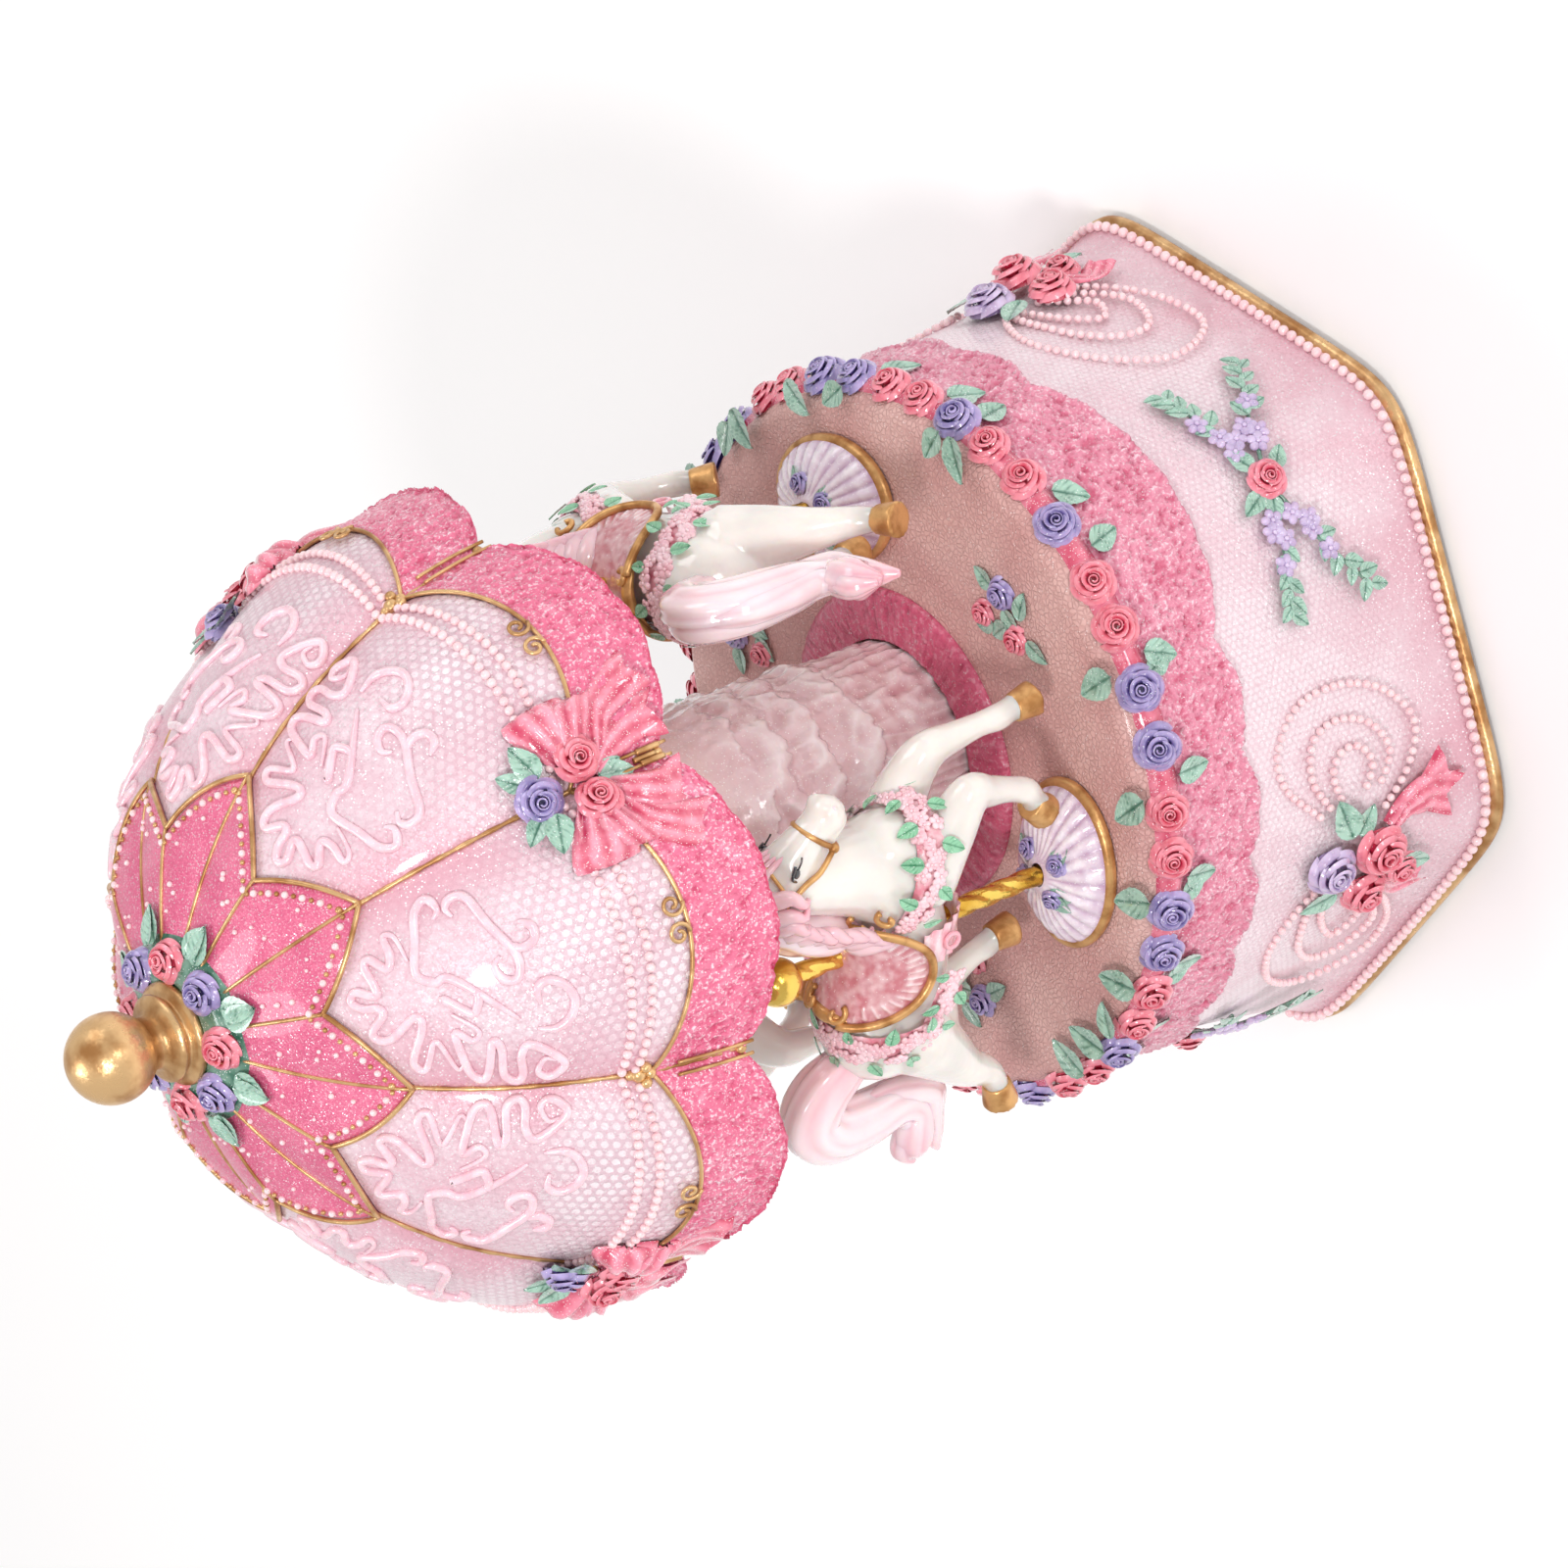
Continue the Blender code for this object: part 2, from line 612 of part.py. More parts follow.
def build_column(paints):
    rings = [[polar(0, 0, FLOOR_Z + GAP)]]
    count = 32
    rows = ((0, 0.3), (14, 0.6), (17.5, 1.1), (18.5, 0.2), (24, 0.9), (26, -0.3), (31, 0.8),
            (34, -0.3), (40, 0.9), (43, -0.2), (COLUMN_TOP - FLOOR_Z - GAP, -0.4))
    for lift, out in rows:
        z = FLOOR_Z + GAP + lift
        part = lift / (COLUMN_TOP - FLOOR_Z)
        radius = COLUMN_BOTTOM_RADIUS + (COLUMN_TOP_RADIUS - COLUMN_BOTTOM_RADIUS) * min(part * 1.6, 1.0)
        ring = []
        for i in range(count):
            az = 360.0 * i / count
            pleat = 0.28 * (1 if i % 2 else -1) if lift < 15 else 0.0
            ruffle = 0.35 * math.sin(math.radians(az * 7 + lift * 40)) if 15 < lift < 50 else 0.0
            ring.append(polar(radius + out + pleat + ruffle, az, z))
        rings.append(ring)
    rings.append([polar(0, 0, COLUMN_TOP)])
    loft("column", rings, paints["column"])
    inner = COLUMN_BOTTOM_RADIUS + 1.5
    lathe("column_ring", [
        (inner, FLOOR_Z + GAP), (RING_RADIUS, FLOOR_Z + GAP), (RING_RADIUS - 0.6, FLOOR_Z + RING_HEIGHT), (inner, FLOOR_Z + RING_HEIGHT + 0.3)], 32,
        paints["ring"], loop=True)


def edge_drop(az):
    """Height of the valance's lower edge: a deep scallop on each panel, small scallops along it."""
    across = ((az - CANOPY_TURN) / 45.0) % 1.0
    return 150.4 - 6.6 * pillow(az) ** 0.95 - 0.8 * abs(math.sin(math.pi * across * 4))


def build_canopy(paints):
    count = 72
    rings = [[Vector((0, 0, 201.5))], circle(2.6, 201.5, count, CANOPY_TURN), circle(2.6, 209.6, count, CANOPY_TURN)]
    for step in (0.06, 0.26, 0.44, 0.6, 0.76, 0.9):
        ring = []
        for i in range(count):
            az = CANOPY_TURN + 360.0 * i / count
            ring.append(canopy_point(az, step))
        rings.append(ring)
    edge = []
    inner = []
    for i in range(count):
        az = CANOPY_TURN + 360.0 * i / count
        radius = canopy_radius_height(az, 0.99)[0]
        low = edge_drop(az)
        edge.append(polar(radius, az, low))
        inner.append(polar(radius - 1.7, az, low + 0.2))
    rings += [edge, inner]
    for radius, z in ((55.6, 160.0), (48.0, 175.0), (35.0, 189.0), (22.5, 195.5), (21.5, COLUMN_TOP + GAP)):
        ring = []
        for i in range(count):
            az = CANOPY_TURN + 360.0 * i / count
            swell = pillow(az) if radius > 30 else 0.0
            ring.append(polar(radius + 0.8 * swell, az, z))
        rings.append(ring)
    rings.append([Vector((0, 0, COLUMN_TOP + GAP))])
    loft("canopy_shell", rings, paints["canopy"])

    count = 48
    rows = []
    for part in (0.0, 0.5, 1.0):
        front = []
        back = []
        for i in range(count):
            az = CANOPY_TURN + 360.0 * i / count
            across = ((az - CANOPY_TURN) / 45.0) % 1.0
            tip = abs(2 * across - 1)
            reach = 0.335 + (0.447 - 0.335) * tip
            step = 0.135 + (reach - 0.135) * part
            thick = 0.9 if part < 1 else 0.6
            front.append(canopy_point(az, step, GAP + thick))
            back.append(canopy_point(az, step, GAP))
        rows.append((front, back))
    rings = [front for front, back in rows] + [back for front, back in reversed(rows)]
    loft("crown_star", rings, paints["star"], loop=True)

    rings = []
    steps = 40
    for i in range(steps):
        az = 360.0 * i / steps
        swell = 0.5 - 0.5 * math.cos(math.radians(az * 10))
        inner = canopy_point(az, 0.143, GAP + 1.3)
        outer = canopy_point(az, 0.2, GAP + 1.3)
        far = canopy_point(az, 0.24 + 0.03 * swell, GAP + 1.3)
        high = canopy_point(az, 0.21, GAP + 2.6 + 2.0 * swell)
        low = canopy_point(az, 0.155, GAP + 2.4 + 1.8 * swell)
        rings.append([inner, outer, far, high, low])
    loft("crown_wreath", rings, paints["rose"], loop=True)

    seat = FINIAL_SEAT + 1.2
    ball = TOTAL_HEIGHT - BALL_TOP_RADIUS
    profile = [(0, 202.4), (2.2, 202.4), (2.2, seat), (8.0, seat), (8.3, seat + 0.7), (8.0, seat + 1.5),
               (6.4, seat + 2.0), (6.3, seat + 2.5), (7.0, seat + 3.0), (6.6, seat + 3.7), (4.4, seat + 4.4), (4.0, seat + 5.2)]
    for i in range(7):
        turn = math.radians(-52 + 142 * i / 7)
        profile.append((BALL_TOP_RADIUS * math.cos(turn), ball + BALL_TOP_RADIUS * math.sin(turn)))
    profile.append((0, TOTAL_HEIGHT))
    lathe("finial", profile, 22, paints["gold"])


# ---------------------------------------------------------------- horses


def build_poles(paints):
    for i, az in enumerate((-60, 60, 180)):
        spot = polar(POLE_CIRCLE, az, 0)
        rings = [[Vector((0, 0, POLE_FOOT))]]
        rows = 18
        for row in range(rows + 1):
            z = POLE_FOOT + (POLE_TOP - POLE_FOOT) * row / rows
            ring = []
            for k in range(8):
                turn = 2 * math.pi * k / 8 + 2 * math.pi * row / 9
                radius = POLE_RADIUS if k % 2 else POLE_RADIUS - 0.18
                ring.append(Vector((radius * math.cos(turn), radius * math.sin(turn), z)))
            rings.append(ring)
        rings.append([Vector((0, 0, POLE_TOP))])
        pole = loft("pole_%d" % (i + 1), rings, paints["pole"])
        pole.location = spot * MM
        profile = []
        bore = POLE_RADIUS + GAP
        limit = math.degrees(math.acos(bore / BALL_RADIUS))
        for k in range(7):
            turn = math.radians(-limit + 2 * limit * k / 6)
            profile.append((BALL_RADIUS * math.cos(turn), BALL_Z + BALL_RADIUS * math.sin(turn)))
        ball = lathe("pole_ball_%d" % (i + 1), profile, 14, paints["pole"], loop=True)
        ball.location = spot * MM

        rings = [[Vector((0, 0, FLOOR_Z + GAP))]]
        count = 28
        for reach, z, flute in ((1.0, FLOOR_Z + GAP, 0), (1.0, FLOOR_Z + 1.8, 0), (0.9, FLOOR_Z + 2.3, 0),
                                (0.66, FLOOR_Z + 4.9, 0.6), (0.22, SHELL_TOP, 0)):
            ring = []
            for k in range(count):
                turn = 2 * math.pi * k / count
                wave = flute * (0.5 if k % 2 else -0.5)
                x = (SHELL_LENGTH * reach + wave * 0.5) * math.cos(turn)
                y = (SHELL_WIDTH * reach + wave * 0.5) * math.sin(turn)
                ring.append(Vector((x, y, z + wave * 0.6)))
            rings.append(ring)
        for z in (SHELL_TOP, POLE_FOOT - GAP):
            rings.append([Vector((bore * math.cos(2 * math.pi * k / count),
                                  bore * math.sin(2 * math.pi * k / count), z)) for k in range(count)])
        rings.append([Vector((0, 0, POLE_FOOT - GAP))])
        shell = loft("shell_base_%d" % (i + 1), rings, paints["shell"])
        shell.location = spot * MM
        shell.rotation_euler = (0, 0, math.radians(az))


def limb(form, points):
    """Joins tapering rods and balls through (x, y, z, radius) points."""
    for x, y, z, radius in points:
        place = Matrix.Translation(Vector((x, y, z)) * MM)
        bmesh.ops.create_icosphere(form, subdivisions=2, radius=radius * MM, matrix=place)
    for a, b in zip(points, points[1:]):
        start = Vector(a[:3]) * MM
        end = Vector(b[:3]) * MM
        tilt = (end - start).to_track_quat("Z", "Y").to_matrix().to_4x4()
        place = Matrix.Translation((start + end) / 2) @ tilt
        bmesh.ops.create_cone(form, cap_ends=True, segments=14, radius1=a[3] * MM, radius2=b[3] * MM,
                              depth=(end - start).length, matrix=place)


def egg(form, centre, radii, tilt=0.0):
    place = Matrix.Translation(Vector(centre) * MM) @ Matrix.Rotation(math.radians(tilt), 4, "Y")
    place = place @ Matrix.Diagonal(Vector([value * MM for value in radii] + [1.0]))
    bmesh.ops.create_icosphere(form, subdivisions=3, radius=1.0, matrix=place)


def build_horses(paints):
    """The horse faces +X with its right side at -Y, the pole through the origin."""
    form = bmesh.new()
    egg(form, (-2, 0, 105.3), (17.0, 8.8, 10.2), -5)
    egg(form, (-15.5, 0, 106.0), (9.6, 8.8, 10.4))
    egg(form, (15.0, 0, 107.6), (9.0, 8.6, 10.6))
    egg(form, (-1.5, 0, 112.8), (9.0, 7.2, 4.6), -10)
    egg(form, (-9.6, 0, 115.0), (2.8, 5.4, 4.4))
    limb(form, [(15, 0, 110, 8.2), (15.8, 0, 118, 6.6), (17.4, 0, 126.5, 5.2)])
    limb(form, [(18.2, 0, 129.4, 4.9), (22.6, 0, 126.0, 4.8), (30.2, 0, 119.4, 3.3)])
    limb(form, [(16.2, 2.6, 132, 1.5), (15.6, 3.0, 136.0, 0.8)])
    limb(form, [(16.2, -2.6, 132, 1.5), (15.6, -3.0, 136.0, 0.8)])
    limb(form, [(19.4, 0, 133.4, 2.0), (12.4, 0, 130.0, 3.2), (9.2, 0, 123.4, 3.8), (7.0, 0, 116.4, 3.6)])
    limb(form, [(13.0, -4.6, 103.0, 5.4), (25.2, -5.0, 96.2, 3.4), (23.6, -5.0, 89.0, 2.5),
                (21.4, -5.0, 83.4, 2.3), (17.6, -5.0, 81.0, 2.6)])
    limb(form, [(17.0, 4.6, 103.0, 5.4), (27.6, 5.0, 97.0, 3.4), (29.2, 5.0, 88.0, 2.4),
                (29.4, 5.0, 82.0, 2.2), (30.0, 5.0, 76.6, 2.8)])
    limb(form, [(-17.0, -4.4, 102.5, 6.8), (-24.8, -5.2, 94.6, 4.4), (-29.4, -5.2, 86.6, 3.0),
                (-35.0, -5.2, 84.4, 2.6)])
    limb(form, [(-15.0, 4.4, 102.0, 6.4), (-19.0, 5.2, 92.0, 3.7), (-15.8, 5.2, 84.8, 2.4),
                (-13.2, 5.2, 77.0, 2.8)])
    limb(form, [(-21.5, 0, 110.5, 3.0), (-26.3, 0, 117.2, 3.5), (-31.2, 0, 117.4, 3.9), (-34.2, 0, 110.0, 4.2),
                (-32.4, 0, 101.8, 4.2), (-38.2, -0.4, 97.2, 3.4), (-43.4, -0.8, 95.8, 2.5), (-47.2, -1.0, 93.8, 1.2)])
    mesh = bpy.data.meshes.new("horse")
    form.to_mesh(mesh)
    form.free()
    model = finish("horse_model", mesh, paints["horse"])
    voxels = model.modifiers.new("skin", "REMESH")
    voxels.mode = "VOXEL"
    voxels.voxel_size = 0.85 * MM
    ease = model.modifiers.new("ease", "SMOOTH")
    ease.factor = 0.5
    ease.iterations = 2
    thin = model.modifiers.new("thin", "DECIMATE")
    thin.ratio = 0.036
    bore = cylinder_tool("horse_bore", POLE_RADIUS + GAP, (0, 0, 90), (0, 0, 124), 16)
    cut(model, bore)
    shape = bake(model)
    bpy.data.objects.remove(model)
    shape.materials.clear()
    shape.materials.append(paints["horse"])
    for i, az in enumerate((-60, 60, 180)):
        horse = finish("horse_%d" % (i + 1), shape, paints["horse"])
        horse.location = polar(POLE_CIRCLE, az, 0) * MM
        horse.rotation_euler = (0, 0, math.radians(az + HORSE_TURNS[i]))


def group(name, members, spot=(0, 0, 0)):
    """An empty on a turning axis, carrying the parts that turn with it."""
    pivot = bpy.data.objects.new(name, None)
    bpy.context.scene.collection.objects.link(pivot)
    pivot.location = Vector(spot) * MM
    bpy.context.view_layer.update()
    for member in members:
        part = bpy.data.objects[member] if isinstance(member, str) else member
        part.parent = pivot
        part.matrix_parent_inverse = Matrix.Translation(-Vector(spot) * MM)
    return pivot


def build_all():
    clear_scene()
    paints = {
        "base": paint("base_pearl", 232, 208, 212, 0.35),
        "rose": paint("coral_rose", 224, 86, 110, 0.35),
        "leaf": paint("silver_leaf", 127, 164, 143, 0.4),
        "ribbon": paint("satin_pink", 232, 120, 144, 0.35),
        "column": paint("column_resin", 205, 166, 164, 0.3),
        "ring": paint("raspberry", 198, 91, 116, 0.55),
        "canopy": paint("canopy_pearl", 232, 208, 212, 0.35),
        "star": paint("deep_rose", 217, 115, 140, 0.4),
        "gold": paint("antique_gold", 190, 138, 80, 0.35, 0.8),
        "pole": paint("bright_gold", 212, 160, 52, 0.22, 1.0),
        "shell": paint("shell_pearl", 214, 196, 212, 0.35),
        "horse": paint("ivory", 237, 233, 226, 0.25),
        "felt": paint("felt", 60, 60, 66, 0.95),
        "foot": paint("foot_plastic", 228, 222, 218, 0.5),
        "plate": paint("plate_white", 226, 222, 218, 0.55),
        "steel": paint("bright_steel", 190, 190, 194, 0.3, 1.0),
        "brass": paint("brass", 204, 164, 84, 0.3, 1.0),
        "casting": paint("zinc_casting", 168, 170, 174, 0.45, 0.8),
        "black": paint("fly_plastic", 40, 40, 44, 0.5),
    }
    build_foot(paints)
    build_bottom(paints)
    build_movement(paints)
    build_base(paints)
    build_ornaments(paints)
    build_column(paints)
    build_canopy(paints)
    build_poles(paints)
    build_horses(paints)

    trains = {
        "cylinder_turn": ((12.2, 0, CYLINDER_Z), ("cylinder_drum", "cylinder_pinion", "cylinder_wheel")),
        "governor_turn": ((34.1, GOVERNOR_Y, CYLINDER_Z), ("governor_shaft", "governor_pinion", "governor_wheel")),
        "worm_turn": ((WORM_X, WORM_Y, BEDPLATE_TOP), ("worm", "fly")),
    }
    still = {"foot_pad", "foot_disc", "winding_arbor", "great_wheel"}
    pivots = []
    for name, (spot, members) in trains.items():
        pivots.append(group(name, members, spot))
        still.update(members)
    figure = []
    for part in bpy.context.scene.objects:
        if part.type == "MESH" and part.name not in still:
            figure.append(part)
    group("figure_turn", figure + pivots)


build_all()
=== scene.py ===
"""Looks of the carousel music box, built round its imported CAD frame.
Lengths are millimetres until a piece is made. Angles called az are degrees about Z from -Y towards +X.
A step runs down the canopy's profile, from 0 at the finial to 1 at the lower edge."""

import math
import random

import bmesh
import bpy
import numpy as np
from mathutils import Matrix, Vector, noise


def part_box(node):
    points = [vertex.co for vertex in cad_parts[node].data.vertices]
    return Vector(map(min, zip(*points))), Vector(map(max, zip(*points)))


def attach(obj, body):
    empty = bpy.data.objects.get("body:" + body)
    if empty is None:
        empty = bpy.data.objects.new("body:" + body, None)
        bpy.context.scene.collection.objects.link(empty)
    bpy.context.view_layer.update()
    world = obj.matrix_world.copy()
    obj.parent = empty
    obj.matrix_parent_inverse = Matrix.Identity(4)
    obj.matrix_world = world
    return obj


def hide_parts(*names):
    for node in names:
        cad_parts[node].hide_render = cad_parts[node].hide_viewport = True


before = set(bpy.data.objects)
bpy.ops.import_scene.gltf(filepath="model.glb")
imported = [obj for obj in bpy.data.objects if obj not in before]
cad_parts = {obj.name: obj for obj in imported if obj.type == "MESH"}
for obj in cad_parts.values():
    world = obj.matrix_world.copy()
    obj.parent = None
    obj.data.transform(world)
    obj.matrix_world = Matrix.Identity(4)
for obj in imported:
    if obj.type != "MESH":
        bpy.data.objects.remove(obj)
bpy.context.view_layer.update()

MM = 0.001
# clearance at both ends of the column
GAP = 0.3
# where the horses and bouquets stand, and where the sprays lie between them
CORNERS = (-60, 60, 180)
SPRAYS = (-3, 117, 237)


def span(node):
    low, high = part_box(node)
    return low / MM, high / MM


def middle(node):
    low, high = span(node)
    return (low + high) / 2


FLOOR_Z = span("base_shell")[1].z
TOP_Z = span("finial")[1].z
COLUMN_TOP = span("column")[1].z
RING_RADIUS = span("column_ring")[1].x
POLES = [middle("pole_%d" % n) for n in (1, 2, 3)]
BALL_Z = middle("pole_ball_1").z
CANOPY_TURN = -7.3
PANEL = 45
BASE_APOTHEM = 61.8
BASE_SHARPNESS = 18
LIP_Z = 63.5
SKIRT_Z = 64.0
HORSE_TURNS = (0.0, -9.0, 0.0)


# ---------------------------------------------------------------- surfaces


def polar(radius, az, z):
    turn = math.radians(az)
    return Vector((radius * math.sin(turn), -radius * math.cos(turn), z))


def around(count, start=0.0, seam=False):
    """Angles all the way round, with the first one repeated at the end for an open sheet."""
    return [start + 360.0 * i / count for i in range(count + seam)]


def clamp(value, low=0.0, high=1.0):
    return min(max(value, low), high)


def ease(value):
    value = clamp(value)
    return value * value * (3 - 2 * value)


def moved(spot):
    return Matrix.Translation(Vector(spot))


def turned(degrees, axis):
    return Matrix.Rotation(math.radians(degrees), 4, axis)


def aimed(direction):
    """Turns Z to a direction."""
    return direction.to_track_quat("Z", "Y").to_matrix().to_4x4()


def hexagon(az):
    total = sum(abs(math.cos(math.radians(az - 30 - 60 * i))) ** BASE_SHARPNESS for i in range(3))
    return total ** (-1.0 / BASE_SHARPNESS)


def base_radius(az, z):
    """A round top flaring into a rounded hexagon."""
    height = clamp((z - 2.0) / 57.0)
    blend = clamp(1.0 - height ** 1.15 * (2.15 - height ** 1.15 * 1.15))
    corner = BASE_APOTHEM * (1 - 0.045 * height) * (1 + (hexagon(az) - 1) * blend)
    lip = max(z - LIP_Z, 0.0) / (FLOOR_Z - LIP_Z)
    return corner - 1.8 * lip ** 2.2


def on_base(az, z, out=0.0):
    return polar(base_radius(az, z) + out, az, z)


def on_floor(az, radius, out=0.0):
    return polar(radius, az, FLOOR_Z + out)


RIB_PROFILE = (
    (3.2, 210.2), (8.6, 209.1), (19.0, 205.4), (28.7, 200.4), (37.3, 194.1), (46.0, 184.8),
    (52.4, 174.6), (57.0, 164.6), (59.2, 156.0), (60.1, 149.4),
)
PANEL_PROFILE = (
    (3.2, 210.2), (8.6, 209.3), (19.0, 206.2), (29.2, 202.0), (39.4, 195.4), (48.6, 186.4),
    (55.8, 175.8), (60.8, 164.8), (63.6, 152.5), (64.6, 140.6),
)


def along(points, step):
    """Smooth curve through the points, any number of values each."""
    place = clamp(step, 0.0, 0.99999) * (len(points) - 1)
    index = int(place)
    part = place - index
    a = points[max(index - 1, 0)]
    b = points[index]
    c = points[index + 1]
    d = points[min(index + 2, len(points) - 1)]
    value = []
    for i in range(len(b)):
        square = 2 * a[i] - 5 * b[i] + 4 * c[i] - d[i]
        cube = 3 * b[i] - a[i] - 3 * c[i] + d[i]
        value.append((2 * b[i] + (c[i] - a[i]) * part + square * part ** 2 + cube * part ** 3) / 2)
    return value


def curve(points, count):
    return [Vector(along(points, i / (count - 1))) for i in range(count)]


def panel_share(az):
    return ((az - CANOPY_TURN) / PANEL) % 1.0


def pillow(az):
    """0 on a rib, 1 in the middle of a panel."""
    return 1.0 - (2 * panel_share(az) - 1) ** 2


def canopy_radius_height(az, step):
    swell = pillow(az) ** 0.8
    rib = along(RIB_PROFILE, step)
    panel = along(PANEL_PROFILE, step)
    return rib[0] + (panel[0] - rib[0]) * swell, rib[1] + (panel[1] - rib[1]) * swell


def on_canopy(az, step, out=0.0):
    radius, height = canopy_radius_height(az, step)
    radius_a, height_a = canopy_radius_height(az, max(step - 0.02, 0.0))
    radius_b, height_b = canopy_radius_height(az, min(step + 0.02, 1.0))
    run = radius_b - radius_a
    drop = height_a - height_b
    length = math.hypot(run, drop)
    return polar(radius + out * drop / length, az, height + out * run / length)


def edge_radius(az):
    return canopy_radius_height(az, 0.99)[0]


def edge_drop(az):
    """Height of the valance's lower edge."""
    return 150.4 - 6.6 * pillow(az) ** 0.95 - 0.8 * abs(math.sin(math.pi * panel_share(az) * 4))


def swag_step(az):
    """Where the gold wire hangs on the canopy, and the valance begins."""
    return 0.775 + 0.068 * pillow(az) ** 0.9


def star_reach(az):
    return 0.335 + 0.112 * abs(2 * panel_share(az) - 1)


def skirt_edge(az):
    """Height of the lower edge of the base's lace skirt."""
    across = ((az - 4 + 60) % 120) - 60
    if abs(across) < 25:
        depth = 6.4 * (1 - (across / 25) ** 2) ** 0.6
    else:
        depth = 2.6 * abs(math.sin(math.radians((abs(across) - 25) * 180 / 17.5))) ** 0.7
    return 48.6 - depth - 0.5 * abs(math.sin(math.radians(az * 22)))


def crumple(spot):
    """Sharp little ridges, as in crushed foil, about -0.6 to 0.6."""
    wide = 0.5 - 2.2 * abs(noise.noise(spot * 0.5))
    fine = 0.45 - 2.0 * abs(noise.noise(spot * 1.3 + Vector((3, 7, 1))))
    return 0.45 * wide + 0.6 * fine


def seat(surface, az, level, out=0.0, turn=0.0, size=1.0, tilt=0.0, pitch=0.0):
    """Placing matrix on a surface: Z leaves it, X runs along az, Y climbs or, on the floor, runs inwards."""
    side = surface(az + 0.4, level, out) - surface(az - 0.4, level, out)
    climb = surface(az, level + 0.01, out) - surface(az, level - 0.01, out)
    x = side.normalized()
    z = x.cross(climb).normalized()
    if z.dot(polar(1, az, 1)) < 0:
        z = -z
    lie = Matrix((x, z.cross(x), z)).transposed().to_4x4()
    lie = lie @ turned(turn, "Z") @ turned(tilt, "X") @ turned(-pitch, "Y")
    return moved(surface(az, level, out)) @ lie @ Matrix.Scale(size, 4)


# ---------------------------------------------------------------- mesh making


